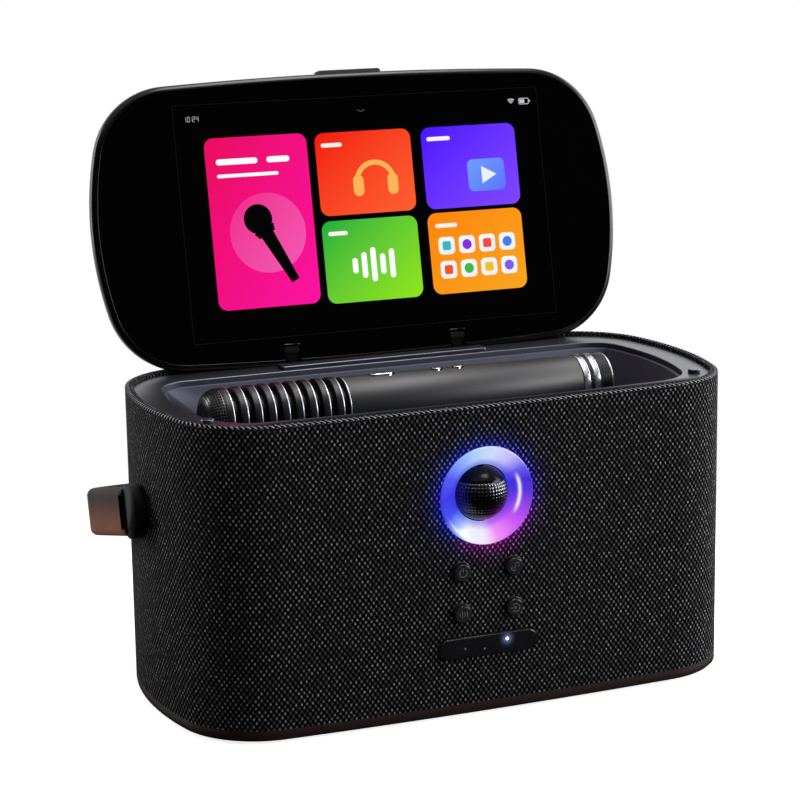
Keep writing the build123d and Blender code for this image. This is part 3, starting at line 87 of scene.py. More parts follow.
@dataclass(frozen=True)
class Outline:
    """A closed outline of arcs, whose centres stay as it is drawn in, joined by straight runs."""

    arcs: tuple[Arc, ...]

    def points(self, inset: float = 0.0) -> np.ndarray:
        """Points of the outline drawn in by inset: centre + (radius - inset) * direction.

        Args:
            inset: distance inside the outline, in millimetres.

        Returns:
            An (n, 2) array that ends where it starts.
        """
        runs = []
        for arc in self.arcs:
            angle = np.radians(np.linspace(arc.start, arc.end, arc.steps + 1))
            ray = np.column_stack([np.cos(angle), np.sin(angle)])
            runs.append(np.array([arc.x, arc.y]) + (arc.radius - inset) * ray)
        runs.append(runs[0][:1])
        return np.concatenate(runs)

    def travel(self) -> np.ndarray:
        """Distance walked along the outline at each of its points, in millimetres."""
        return walked(self.points())


def walked(points: np.ndarray) -> np.ndarray:
    """Distance walked along a line of points: the running sum of the steps' lengths."""
    return np.concatenate([[0.0], np.cumsum(np.linalg.norm(np.diff(points, axis=0), axis=1))])


def bowed_plan(
    length: float, depth: float, front_bulge: float, end_bulge: float, corner: float
) -> Outline:
    """The cabinet's plan: four shallow bows joined by four corner arcs tangent to both.

    A bow's radius is (half chord squared + bulge squared) / (2 bulge). A corner's centre lies where
    circles about the two bows' centres, each smaller by the corner's radius, cross.

    Args:
        length: overall size along X.
        depth: overall size along Y.
        front_bulge: how far the front and back bow out.
        end_bulge: how far the ends bow out.
        corner: radius of the corners.

    Returns:
        The outline, counter-clockwise from the middle of the back.
    """
    half_x, half_y = length / 2 - end_bulge, depth / 2 - front_bulge
    long_r = (half_x**2 + front_bulge**2) / (2 * front_bulge)
    end_r = (half_y**2 + end_bulge**2) / (2 * end_bulge)
    front_c = np.array([0.0, long_r - depth / 2])
    end_c = np.array([length / 2 - end_r, 0.0])
    gap = end_c - front_c
    apart = np.linalg.norm(gap)
    along = ((long_r - corner) ** 2 - (end_r - corner) ** 2 + apart**2) / (2 * apart)
    off = math.sqrt((long_r - corner) ** 2 - along**2)
    cross = np.array([-gap[1], gap[0]]) / apart
    both = [front_c + along * gap / apart + side * off * cross for side in (1, -1)]
    cx, cy = max(both, key=lambda c: c[0])
    phi = math.degrees(math.atan2(cy - front_c[1], cx))
    eps = math.degrees(math.atan2(cy, cx - end_c[0]))
    fy, ex = front_c[1], end_c[0]
    half_bow, turn, end = 40, 36, 24  # steps of half a long bow, of a corner and of an end
    return Outline(
        (
            Arc(0, -fy, long_r, 90, 180 + phi, half_bow),
            Arc(-cx, -cy, corner, 180 + phi, 180 + eps, turn),
            Arc(-ex, 0, end_r, 180 + eps, 180 - eps, end),
            Arc(-cx, cy, corner, 180 - eps, 180 - phi, turn),
            Arc(0, fy, long_r, 180 - phi, 360 + phi, 2 * half_bow),
            Arc(cx, cy, corner, phi, eps, turn),
            Arc(ex, 0, end_r, eps, -eps, end),
            Arc(cx, -cy, corner, -eps, -phi, turn),
            Arc(0, -fy, long_r, -phi, 90, half_bow),
        )
    )


def well_plan(plan: Outline, rim: float, back: float, corner: float) -> Outline:
    """The well's outline: the plan drawn in by rim, cut straight at the back with round corners.

    A back corner touches the end bow from inside, so its centre lies end radius - corner from the
    bow's centre, and corner before the straight back.

    Args:
        plan: the cabinet's outline.
        rim: width of the rim at the front and the ends.
        back: the straight back's place along Y.
        corner: radius of the back corners.

    Returns:
        The outline, counter-clockwise from the left end of its straight back.
    """
    _, _, left, left_corner, front, right_corner, right, _, _ = plan.arcs
    radius = right.radius - rim
    cy = back - corner
    cx = right.x + math.sqrt((radius - corner) ** 2 - cy**2)
    turn = math.degrees(math.atan2(cy, cx - right.x))
    arcs = (
        Arc(-cx, cy, corner, 90, 180 - turn, 24),
        Arc(left.x, 0, radius, 180 - turn, left.end, 30),
        replace(left_corner, radius=left_corner.radius - rim),
        replace(front, radius=front.radius - rim),
        replace(right_corner, radius=right_corner.radius - rim),
        Arc(right.x, 0, radius, right.start, turn, 30),
        Arc(cx, cy, corner, turn, 90, 24),
    )
    return Outline(arcs)


def fanned(
    ring: np.ndarray, hub: tuple[float, float], steps: int = 900, spacing: float = 0.05
) -> np.ndarray:
    """An outline's points at even angles about hub: its distance interpolated over its angle.

    Args:
        ring: the outline's points, which end where they start; it is convex.
        hub: a point inside it.
        steps: how many angles.
        spacing: distance between the points that stand in for the outline, in millimetres.

    Returns:
        (steps + 1, 2) points, ending where they start.
    """
    along = walked(ring)
    even = np.arange(0, along[-1], spacing)
    dense = np.column_stack([np.interp(even, along, ring[:, k]) for k in (0, 1)])
    away = dense - np.array(hub)
    angle = np.linspace(-np.pi, np.pi, steps + 1)
    own_angle = np.arctan2(away[:, 1], away[:, 0])
    far = np.interp(angle, own_angle, np.linalg.norm(away, axis=1), period=2 * np.pi)
    return np.array(hub) + far[:, None] * np.column_stack([np.cos(angle), np.sin(angle)])


def rounded_box(width: float, height: float, corner: float, steps: int = 10) -> Outline:
    """A rectangle with round corners, centred on the origin.

    Args:
        width: its size along X.
        height: its size along Y.
        corner: radius of its corners.
        steps: steps of a corner.

    Returns:
        The outline, counter-clockwise from the right.
    """
    x, y = width / 2 - corner, height / 2 - corner
    spots = ((x, y, 0), (-x, y, 90), (-x, -y, 180), (x, -y, 270))
    return Outline(tuple(Arc(cx, cy, corner, a, a + 90, steps) for cx, cy, a in spots))


def round_disc(radius: float, steps: int = 96) -> Outline:
    """A circle about the origin."""
    return Outline((Arc(0, 0, radius, 0, 360, steps),))


def fillet_run(
    centre: tuple[float, float], radius: float, start: float, end: float, steps: int = 6
) -> Profile:
    """Points of an arc in a profile, from start to end degrees about centre."""
    angle = np.radians(np.linspace(start, end, steps + 1))
    return [(centre[0] + radius * math.cos(a), centre[1] + radius * math.sin(a)) for a in angle]


@dataclass(frozen=True)
class Place:
    """A local frame: origin, x and y directions, and their cross product as its normal."""

    origin: tuple[float, float, float] = (0.0, 0.0, 0.0)
    across: tuple[float, float, float] = (1.0, 0.0, 0.0)
    up: tuple[float, float, float] = (0.0, 1.0, 0.0)

    def world(self, points: np.ndarray) -> np.ndarray:
        """Local millimetres to metres in the shared frame: origin + x*across + y*up + z*normal.

        Args:
            points: (n, 3) local points.

        Returns:
            (n, 3) points in metres.
        """
        normal = np.cross(self.across, self.up)
        axes = np.array([self.across, self.up, normal])
        return (np.asarray(self.origin) + points @ axes) * MM


LEVEL = Place()


def facing_front(x: float, z: float, y: float = 0.0) -> Place:
    """A frame at (x, y, z) whose normal points out of the front, to -Y."""
    return Place((x, y, z), (1, 0, 0), (0, 0, 1))


def span(node: str) -> tuple[np.ndarray, np.ndarray]:
    """Low and high corner of a CAD node's box, in millimetres."""
    low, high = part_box(node)
    return np.array(low) / MM, np.array(high) / MM


def middle(node: str) -> np.ndarray:
    """Centre of a CAD node's box, in millimetres."""
    low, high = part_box(node)
    return np.array((low + high) / 2) / MM


def swept(outline: Outline, profile: Profile) -> np.ndarray:
    """An outline carried along a profile of (inset, height) pairs, as a (rows, columns, 3) grid."""
    rows = [np.column_stack([p := outline.points(d), np.full(len(p), h)]) for d, h in profile]
    return np.array(rows)


def turned(profile: Profile, steps: int = 96) -> np.ndarray:
    """A profile of (radius, height) pairs turned about the local normal, as a grid.

    Args:
        profile: the (radius, height) pairs.
        steps: steps of the turn.

    Returns:
        (rows, steps + 1, 3) points: (radius cos a, radius sin a, height).
    """
    angle = np.linspace(0, 2 * np.pi, steps + 1)
    radius, height = (column[:, None] for column in np.array(profile).T)
    round_x, round_y = radius * np.cos(angle), radius * np.sin(angle)
    return np.stack([round_x, round_y, np.broadcast_to(height, round_x.shape)], axis=-1)


def grid_uv(grid: np.ndarray, travel: np.ndarray | None = None) -> np.ndarray:
    """Distances over a grid in millimetres: travel along its columns, and up its first column.

    Args:
        grid: (rows, columns, 3) points.
        travel: distance at each column, by default along the widest row.

    Returns:
        (rows, columns, 2) values.
    """
    if travel is None:
        size = np.ptp(grid[..., 0], axis=1) + np.ptp(grid[..., 1], axis=1)
        travel = walked(grid[np.argmax(size)])
    return np.stack(np.broadcast_arrays(travel[None, :], walked(grid[:, 0])[:, None]), axis=-1)


def quads(rows: int, cols: int) -> np.ndarray:
    """Corner numbers of a grid's faces: (i, j), (i, j + 1), (i + 1, j + 1), (i + 1, j).

    Args:
        rows: points up the grid.
        cols: points across it.

    Returns:
        (faces, 4) numbers; point (i, j) is i * cols + j.
    """
    i, j = np.meshgrid(np.arange(rows - 1), np.arange(cols - 1), indexing="ij")
    first = i * cols + j
    return np.stack([first, first + 1, first + cols + 1, first + cols], axis=-1).reshape(-1, 4)


def linked(name: str, mesh: bpy.types.Mesh) -> Piece:
    """A new object with the mesh, at the origin."""
    made = bpy.data.objects.new(name, mesh)
    bpy.context.scene.collection.objects.link(made)
    return made


def shade(mesh: bpy.types.Mesh, sharp: float) -> None:
    """Shades a mesh smooth but for edges that turn by more than sharp degrees."""
    mesh.shade_smooth()
    mesh.set_sharp_from_angle(angle=math.radians(sharp))


def finish_mesh(mesh: bpy.types.Mesh, sharp: float) -> None:
    """Merges doubled points, drops collapsed faces and shades smooth up to the sharp angle.

    Args:
        mesh: the mesh, changed in place.
        sharp: angle in degrees from which an edge stays sharp.
    """
    work = bmesh.new()
    work.from_mesh(mesh)
    bmesh.ops.remove_doubles(work, verts=work.verts, dist=2e-6)
    bmesh.ops.dissolve_degenerate(work, edges=work.edges, dist=1e-7)
    work.to_mesh(mesh)
    work.free()
    shade(mesh, sharp)


def grid_piece(
    name: str,
    grid: np.ndarray,
    place: Place = LEVEL,
    caps: tuple[bool, bool] = (False, False),
    uv: np.ndarray | None = None,
    sharp: float = 32.0,
) -> Piece:
    """Makes a mesh object of a grid of local points, with optional flat caps on its end rows.

    Args:
        name: the piece's name.
        grid: (rows, columns, 3) local points in millimetres.
        place: the local frame.
        caps: whether the first and last rows are closed by a flat face.
        uv: (rows, columns, 2) values, by default distances in millimetres.
        sharp: angle in degrees from which an edge stays sharp.

    Returns:
        The new object, at the origin.
    """
    rows, cols = grid.shape[:2]
    faces = quads(rows, cols).tolist()
    if caps[0]:
        faces.append(list(range(cols - 2, -1, -1)))
    if caps[1]:
        faces.append(list(range((rows - 1) * cols, rows * cols - 1)))
    mesh = bpy.data.meshes.new(name)
    mesh.from_pydata(place.world(grid.reshape(-1, 3)), [], faces)
    uv = grid_uv(grid) if uv is None else uv
    layer = mesh.uv_layers.new(name="surface")
    corner = np.empty(len(mesh.loops), dtype=np.int32)
    mesh.loops.foreach_get("vertex_index", corner)
    layer.data.foreach_set("uv", uv.reshape(-1, 2)[corner].astype(np.float32).ravel())
    finish_mesh(mesh, sharp)
    return linked(name, mesh)


def joined(name: str, parts: list[Piece]) -> Piece:
    """Joins objects into one mesh object with the given name.

    Args:
        name: the new object's name.
        parts: objects at the origin, which are used up.

    Returns:
        The new object.
    """
    work = bmesh.new()
    for part in parts:
        work.from_mesh(part.data)
    mesh = bpy.data.meshes.new(name)
    work.to_mesh(mesh)
    work.free()
    for part in parts:
        bpy.data.objects.remove(part)
    return linked(name, mesh)


def plates(
    name: str, shapes: list[np.ndarray], place: Place, low: float, high: float, sharp: float = 32.0
) -> Piece:
    """Thin flat-topped plates: each closed outline carried from low to high and closed above.

    Args:
        name: the piece's name.
        shapes: (n, 2) outlines in the place's plane.
        place: the local frame.
        low: where the plates start along the normal.
        high: where they end.
        sharp: angle in degrees from which an edge stays sharp.

    Returns:
        One object with all plates.
    """
    parts = []
    for shape in shapes:
        ring = np.concatenate([shape, shape[:1]])
        rows = [np.column_stack([ring, np.full(len(ring), z)]) for z in (low, high)]
        parts.append(grid_piece("part", np.array(rows), place, (False, True), sharp=sharp))
    return joined(name, parts)


def cutter(outline: Outline, low: float, high: float, place: Place) -> Piece:
    """A closed solid to cut with: the outline carried from low to high along the normal."""
    return grid_piece("tool", swept(outline, [(0, low), (0, high)]), place, (True, True))


def cut(piece: Piece, cutters: list[Piece], sharp: float = 32.0) -> None:
    """Cuts closed solids out of a piece's mesh and shades it again.

    Args:
        piece: the piece, whose mesh is replaced.
        cutters: closed solids, which are used up.
        sharp: angle in degrees from which an edge stays sharp.
    """
    tool = joined("cutter", cutters)
    work = piece.modifiers.new("cut", "BOOLEAN")
    work.operation, work.object, work.solver = "DIFFERENCE", tool, "EXACT"
    graph = bpy.context.evaluated_depsgraph_get()
    mesh = bpy.data.meshes.new_from_object(piece.evaluated_get(graph))
    piece.modifiers.clear()
    piece.data = mesh
    bpy.data.objects.remove(tool)
    shade(mesh, sharp)


# ---------------------------------------------------------------- finishes


def linear(code: str) -> tuple[float, float, float, float]:
    """An sRGB hex colour as linear light: ((c + 0.055) / 1.055) ** 2.4 above the toe.

    Args:
        code: the colour, as #rrggbb.

    Returns:
        Red, green, blue and an alpha of 1.
    """
    channels = [int(code[k : k + 2], 16) / 255 for k in (1, 3, 5)]
    light = [c / 12.92 if c <= 0.04045 else ((c + 0.055) / 1.055) ** 2.4 for c in channels]
    return (*light, 1.0)


def add_node(
    tree: Tree, kind: str, *values: object, out: int | str = 0, **settings: object
) -> Socket:
    """Adds a node, sets its properties, fills its inputs and gives one of its outputs.

    Args:
        tree: the node tree.
        kind: the node's type without its ShaderNode prefix, and after a space its operation.
        *values: sockets to link, values or hex colours to set, in the inputs' order, or one
            dict of them by the inputs' names or numbers.
        out: name or number of the output wanted.
        **settings: properties of the node.

    Returns:
        The output, or the first input of a node that has no outputs.
    """
    kind, _, operation = kind.partition(" ")
    node = tree.nodes.new(f"ShaderNode{kind}")
    if operation:
        node.operation = operation
    for key, value in settings.items():
        setattr(node, key, value)
    inputs = values[0] if values and isinstance(values[0], dict) else dict(enumerate(values))
    for key, value in inputs.items():
        if isinstance(value, Socket):
            tree.links.new(value, node.inputs[key])
        else:
            node.inputs[key].default_value = linear(value) if isinstance(value, str) else value
    return node.outputs[out] if node.outputs else node.inputs[0]


SMOOTH = {"interpolation_type": "SMOOTHSTEP"}  # a range that eases in and out
BLEND = {"data_type": "RGBA", "out": 2}  # a mix of two colours: inputs 0, then 6 and 7


def round_the_ring(tree: Tree, hues: tuple[tuple[float, str], ...]) -> tuple[Socket, Socket]:
    """A colour that runs round the lit ring: the hue at atan2(z, x) / 2 pi, from the right.

    Args:
        tree: the node tree.
        hues: place round the ring, from 0 to 1, and sRGB code of each hue.

    Returns:
        The colour, and the distance from the ring's axis in millimetres.
    """
    spot = add_node(tree, "TexCoord", out="Object")
    centred = add_node(tree, "VectorMath ADD", spot, tuple(-c * MM for c in RING_CENTRE))
    axes = add_node(tree, "SeparateXYZ", centred).node.outputs
    angle = add_node(tree, "Math ARCTAN2", axes[2], axes[0])
    turn = add_node(tree, "Math FRACT", add_node(tree, "Math DIVIDE", angle, 2 * math.pi))
    hue = add_node(tree, "ValToRGB", turn)
    stops = hue.node.color_ramp.elements
    while len(stops) < len(hues):
        stops.new(0.5)
    for stop, (where, code) in zip(stops, hues):
        stop.position, stop.color = where, linear(code)
    flat = add_node(tree, "CombineXYZ", {0: axes[0], 1: axes[2]})
    away = add_node(tree, "VectorMath LENGTH", flat, out="Value")
    return hue, add_node(tree, "Math DIVIDE", away, MM)


@dataclass(frozen=True)
class Finish:
    """A surface finish: its name, base colour and roughness, made into a material once."""

    name: str
    colour: str
    roughness: float

    def material(self) -> bpy.types.Material:
        """The Blender material, made on first use."""
        found = bpy.data.materials.get(self.name)
        if found:
            return found
        made = bpy.data.materials.new(self.name)
        made.use_nodes = True
        tree = made.node_tree
        tree.nodes.clear()
        plain = {"Base Color": self.colour, "Roughness": self.roughness}
        surface = add_node(tree, "BsdfPrincipled", plain | self.looks(tree))
        add_node(tree, "OutputMaterial", surface)
        return made

    def looks(self, tree: Tree) -> Inputs:
        """The surface shader's inputs that differ from the plain colour and roughness.

        Args:
            tree: the material's node tree.

        Returns:
            Sockets or values by the inputs' names.
        """
        raise NotImplementedError

    def mottle(self, tree: Tree, size_mm: float, detail: float = 3.0) -> Socket:
        """Clouds about size_mm across, fixed to the piece: noise of Object place / size.

        Args:
            tree: the material's node tree.
            size_mm: size of a cloud.
            detail: octaves of finer noise in it.

        Returns:
            The noise, from 0 to 1.
        """
        spot = add_node(tree, "TexCoord", out="Object")
        inputs = {"Vector": spot, "Scale": 1.0 / (size_mm * MM), "Detail": detail}
        return add_node(tree, "TexNoise", inputs)


@dataclass(frozen=True)
class MouldedPlastic(Finish):
    """Injection-moulded ABS with a fine spark-eroded grain: soft highlights, faint mottling."""

    grain_mm: float = 0.35
    depth_mm: float = 0.02
    drift_mm: float = 14.0
    shine: float = 0.5
    spread: float = 0.12  # how far the roughness drifts, as a share of itself

    def looks(self, tree: Tree) -> Inputs:
        """Even colour with grain in the normal and a slow drift in the gloss."""
        grain = self.mottle(tree, self.grain_mm)
        drift = self.mottle(tree, self.drift_mm)
        base = linear(self.colour)
        lifted = (*(min(1.0, c * 1.25 + 0.0015) for c in base[:3]), 1.0)
        ends = [self.roughness * (1 + side * self.spread) for side in (-1, 1)]
        return {
            "Base Color": add_node(tree, "Mix", {0: drift, 6: base, 7: lifted}, **BLEND),
            "Roughness": add_node(tree, "MapRange", drift, 0.0, 1.0, *ends),
            "IOR": 1.5,
            "Specular IOR Level": self.shine,
            "Normal": add_node(tree, "Bump", {"Height": grain, "Distance": self.depth_mm * MM}),
        }


@dataclass(frozen=True)
class TrayPlastic(MouldedPlastic):
    """Satin ABS of the tray: the rim is polished but for its matt front; the well is coarser, and
    its lighter grey is partly painted light.
    """

    polished_from: float = 168.6  # height above which the tray is polished, in millimetres
    edge_mm: float = 0.3  # half of the height in which the polish fades in
    well_roughness: float = 0.55
    # the well's lighter grey: partly the coarser plastic, partly painted light on its walls
    well_colour: str = "#26282d"
    matt_roughness: float = 0.9
    matt_front: tuple[float, float] = (-70.0, -58.0)  # places along Y where the gloss fades in

    def looks(self, tree: Tree) -> Inputs:
        """Roughness and colour that change at the rim's height; the well's lighter colour is partly
        painted light.
        """
        spot = add_node(tree, "TexCoord", out="Object")
        axes = add_node(tree, "SeparateXYZ", spot).node.outputs
        edge = [(self.polished_from + side * self.edge_mm) * MM for side in (-1, 1)]
        rim = add_node(tree, "MapRange", axes[2], *edge, **SMOOTH)
        fade = [y * MM for y in self.matt_front]
        back = add_node(tree, "MapRange", axes[1], *fade, **SMOOTH)
        step = self.roughness - self.well_roughness
        rough = add_node(tree, "Math MULTIPLY_ADD", rim, step, self.well_roughness)
        dull = self.matt_roughness
        matt = add_node(tree, "Math MULTIPLY_ADD", back, -dull, dull)
        grain = self.mottle(tree, self.grain_mm)
        colours = {0: rim, 6: self.well_colour, 7: self.colour}
        polish = add_node(tree, "Math MULTIPLY", rim, back)
        return {
            "Base Color": add_node(tree, "Mix", colours, **BLEND),
            "Roughness": add_node(tree, "Math MAXIMUM", rough, matt),
            "IOR": 1.7,
            "Specular IOR Level": add_node(tree, "Math MULTIPLY", back, self.shine),
            "Specular Tint": "#d2d6ff",
            "Coat Weight": add_node(tree, "Math MULTIPLY", polish, 0.6),
            "Coat Roughness": 0.3,
            "Normal": add_node(tree, "Bump", {"Height": grain, "Distance": self.depth_mm * MM}),
        }


@dataclass(frozen=True)
class Mottled(Finish):
    """A finish with faint clouds of a second colour, which also stand up as a slight relief."""

    cloud: str = "#101010"
    cloud_mm: float = 1.0
    detail: float = 2.0
    relief_mm: float = 0.01

    def looks(self, tree: Tree) -> Inputs:
        """Colour turns to cloud by the clouds' height, which the normal follows."""
        clouds = self.mottle(tree, self.cloud_mm, self.detail)
        colours = {0: clouds, 6: self.colour, 7: self.cloud}
        relief = {"Height": clouds, "Distance": self.relief_mm * MM}
        return {
            "Base Color": add_node(tree, "Mix", colours, **BLEND),
            "Normal": add_node(tree, "Bump", relief),
        }


@dataclass(frozen=True)
class PianoLacquer(Mottled):
    """Lacquered black ABS: deep black under a clear coat, a little hazy from polishing."""

    cloud: str = "#0c0a0a"
    cloud_mm: float = 30.0
    detail: float = 1.0

    def looks(self, tree: Tree) -> Inputs:
        """A hazy coat over black; the faintest waviness bends its reflections."""
        coat = {"Coat Weight": 0.12, "Coat Roughness": 0.08}
        return super().looks(tree) | {"IOR": 1.52, "Specular IOR Level": 0.2} | coat


@dataclass(frozen=True)
class PrintedGlass(Finish):
    """Touch glass printed black behind: flat, mirror-smooth and all but colourless."""

    haze_mm: float = 22.0

    def looks(self, tree: Tree) -> Inputs:
        """Near-black under glass, with slight finger haze in its gloss."""
        haze = self.mottle(tree, self.haze_mm, 2.0)
        rough = add_node(tree, "Math MULTIPLY_ADD", haze, self.roughness, self.roughness)
        return {"Roughness": rough, "IOR": 1.45}


@dataclass(frozen=True)
class IndicatorGlass(Finish):
    """Smoked acrylic over the indicators, with a painted glow of a cold halo round the one that is
    lit.
    """

    lit: tuple[float, float] = (10.7, 41.4)  # place of the lit dot, across and up
    halo_mm: float = 2.4
    halo: str = "#8098d0"
    smoke: str = "#1a1a1d"
    smoke_mm: float = 1.2

    def looks(self, tree: Tree) -> Inputs:
        """Dark smoke with a painted glow by exp(-(r / halo) ** 2) round the lit dot."""
        spot = add_node(tree, "TexCoord", out="Object")
        place = (self.lit[0] * MM, 0.0, self.lit[1] * MM)
        away = add_node(tree, "VectorMath SUBTRACT", spot, place)
        flat = add_node(tree, "VectorMath MULTIPLY", away, (1 / MM, 0.0, 1 / MM))
        far = add_node(tree, "VectorMath DOT_PRODUCT", flat, flat, out="Value")
        power = add_node(tree, "Math MULTIPLY", far, -1.0 / self.halo_mm**2)
        glow = add_node(tree, "Math EXPONENT", power)
        haze = self.mottle(tree, self.smoke_mm, 2.0)
        colours = {0: haze, 6: self.colour, 7: self.smoke}
        return {
            "Base Color": add_node(tree, "Mix", colours, **BLEND),
            "IOR": 1.49,
            "Emission Color": self.halo,
            "Emission Strength": add_node(tree, "Math MULTIPLY", glow, 0.55),
        }


@dataclass(frozen=True)
class SpeakerCloth(Finish):
    """Coarse knitted polyester: pale yarn crests in a quincunx between black holes.

    A slanted stitch binds its top edge, and the ring's light is painted onto the yarn round it as a
    glow.
    """

    fleck: str = "#d6d6de"
    pitch_mm: tuple[float, float] = (1.52, 2.03)  # from a crest to the next hole, along and up
    sway_mm: float = 1.3
    sway_scale: float = 0.16  # waves per millimetre
    fibre_scale: float = 2.4
    crests: tuple[float, float] = (0.38, 0.97)  # heights where a crest starts and is full
    hole_depth: float = 0.4
    stitch_from: float = 162.6  # height up the cloth where the binding stitches start and end
    stitch_to: float = 165.2
    stitch_slant: float = 0.28
    gloss: float = 0.22
    knit_depth_mm: float = 0.35
    ring_radius: float = 26.6
    spill_mm: float = 3.2  # distance in which the ring's painted glow falls to 1/e
    # hues of the ring's light painted onto the cloth
    painted_spill_hues: tuple[tuple[float, str], ...] = (
        (0.00, "#3a12d8"), (0.10, "#2c22e8"), (0.30, "#1c34ff"), (0.50, "#1730ff"),
        (0.62, "#2a3cf0"), (0.70, "#b020b8"), (0.78, "#d018c8"), (0.92, "#a014d8"),
        (1.00, "#3a12d8"),
    )

    def knit(self, tree: Tree) -> tuple[Socket, Socket, Socket]:
        """The knit's height, sin(pi u / pitch) * sin(pi v / pitch), and its uneven light.

        Within the top edge's band the height is sin(2 pi (u / 2 pitch + slant v)) instead. The
        light is a crest's own luck to a power, times its fibres.

        Returns:
            The height from -1 to 1, how far a crest is full, and how pale its yarn is.
        """
        uv = add_node(tree, "UVMap", uv_map="surface")
        noise = {"Vector": uv, "Scale": self.sway_scale, "Detail": 4.0}
        sway = add_node(tree, "TexNoise", noise, out="Color")
        reach = (self.sway_mm, self.sway_mm, 0.0)
        swayed = add_node(tree, "VectorMath MULTIPLY_ADD", sway, reach, uv)
        per_cell = (1 / self.pitch_mm[0], 1 / self.pitch_mm[1], 0)
        cells = add_node(tree, "VectorMath MULTIPLY", swayed, per_cell)
        axes = add_node(tree, "SeparateXYZ", cells).node.outputs
        across, along = (
            add_node(tree, "Math SINE", add_node(tree, "Math MULTIPLY", axis, math.pi))
            for axis in axes[:2]
        )
        weave = add_node(tree, "Math MULTIPLY", across, along)
        high = add_node(tree, "SeparateXYZ", uv, out=1)
        half_cell = add_node(tree, "Math MULTIPLY", axes[0], 0.5)
        slant = add_node(tree, "Math MULTIPLY_ADD", high, self.stitch_slant, half_cell)
        stitch = add_node(tree, "Math SINE", add_node(tree, "Math MULTIPLY", slant, 2 * math.pi))
        over = add_node(tree, "Math GREATER_THAN", high, self.stitch_from)
        under = add_node(tree, "Math LESS_THAN", high, self.stitch_to)
        band = add_node(tree, "Math MULTIPLY", over, under)
        form = add_node(tree, "Mix", {0: band, 2: weave, 3: stitch})
        crest = add_node(tree, "MapRange", form, *self.crests, **SMOOTH)
        cell = add_node(tree, "VectorMath FLOOR", cells)
        luck = add_node(tree, "TexWhiteNoise", cell)
        luck = add_node(tree, "Math POWER", luck, 1.8)
        luck = add_node(tree, "Math MULTIPLY_ADD", luck, 0.62, 0.09)
        fine = {"Vector": swayed, "Scale": self.fibre_scale, "Detail": 2.0}
        fibre = add_node(tree, "TexNoise", fine)
        fibre = add_node(tree, "Math MULTIPLY_ADD", fibre, 1.1, 0.1)
        pale = add_node(tree, "Math MULTIPLY", crest, luck)
        pale = add_node(tree, "Math MULTIPLY", pale, fibre)
        bound = add_node(tree, "Math MULTIPLY", band, crest)
        bound = add_node(tree, "Math MULTIPLY", bound, 0.5)
        return form, crest, add_node(tree, "Math MAXIMUM", pale, bound)

    def painted_spill(self, tree: Tree, crest: Socket) -> tuple[Socket, Socket]:
        """Colour and strength of the ring's painted glow on the front: exp((ring - r) / distance).

        Args:
            tree: the node tree.
            crest: how far a crest is full; holes catch little light.
        """
        hue, away = round_the_ring(tree, self.painted_spill_hues)
        past = add_node(tree, "Math SUBTRACT", self.ring_radius, away)
        past = add_node(tree, "Math DIVIDE", past, self.spill_mm)
        fall = add_node(tree, "Math EXPONENT", past)
        caught = add_node(tree, "Math MULTIPLY_ADD", crest, 1.0, 0.16)
        glow = add_node(tree, "Math MULTIPLY", fall, caught)
        depth = add_node(tree, "SeparateXYZ", add_node(tree, "TexCoord", out="Object"), out=1)
        front = add_node(tree, "Math LESS_THAN", depth, 0.0)
        return hue, add_node(tree, "Math MULTIPLY", glow, front)

    def looks(self, tree: Tree) -> Inputs:
        """Pale crests on dark yarn that turns black in the holes, under the ring's painted glow."""
        form, crest, pale = self.knit(tree)
        sunk = add_node(tree, "Math MULTIPLY", form, -1.0)
        hole = add_node(tree, "MapRange", sunk, 0.0, self.hole_depth, **SMOOTH)
        colours = {0: hole, 6: self.colour, 7: "#000000"}
        yarn = add_node(tree, "Mix", colours, **BLEND)
        # painted light: the ring's glow painted onto the cloth as emission
        hue, glow = self.painted_spill(tree, crest)
        gloss = add_node(tree, "Math MULTIPLY_ADD", hole, -self.gloss, self.gloss)
        flecked = {0: pale, 6: yarn, 7: self.fleck}
        relief = {"Height": form, "Distance": self.knit_depth_mm * MM}
        return {
            "Base Color": add_node(tree, "Mix", flecked, **BLEND),
            "Specular IOR Level": gloss,
            "Emission Color": hue,
            "Emission Strength": glow,
            "Normal": add_node(tree, "Bump", relief),
        }


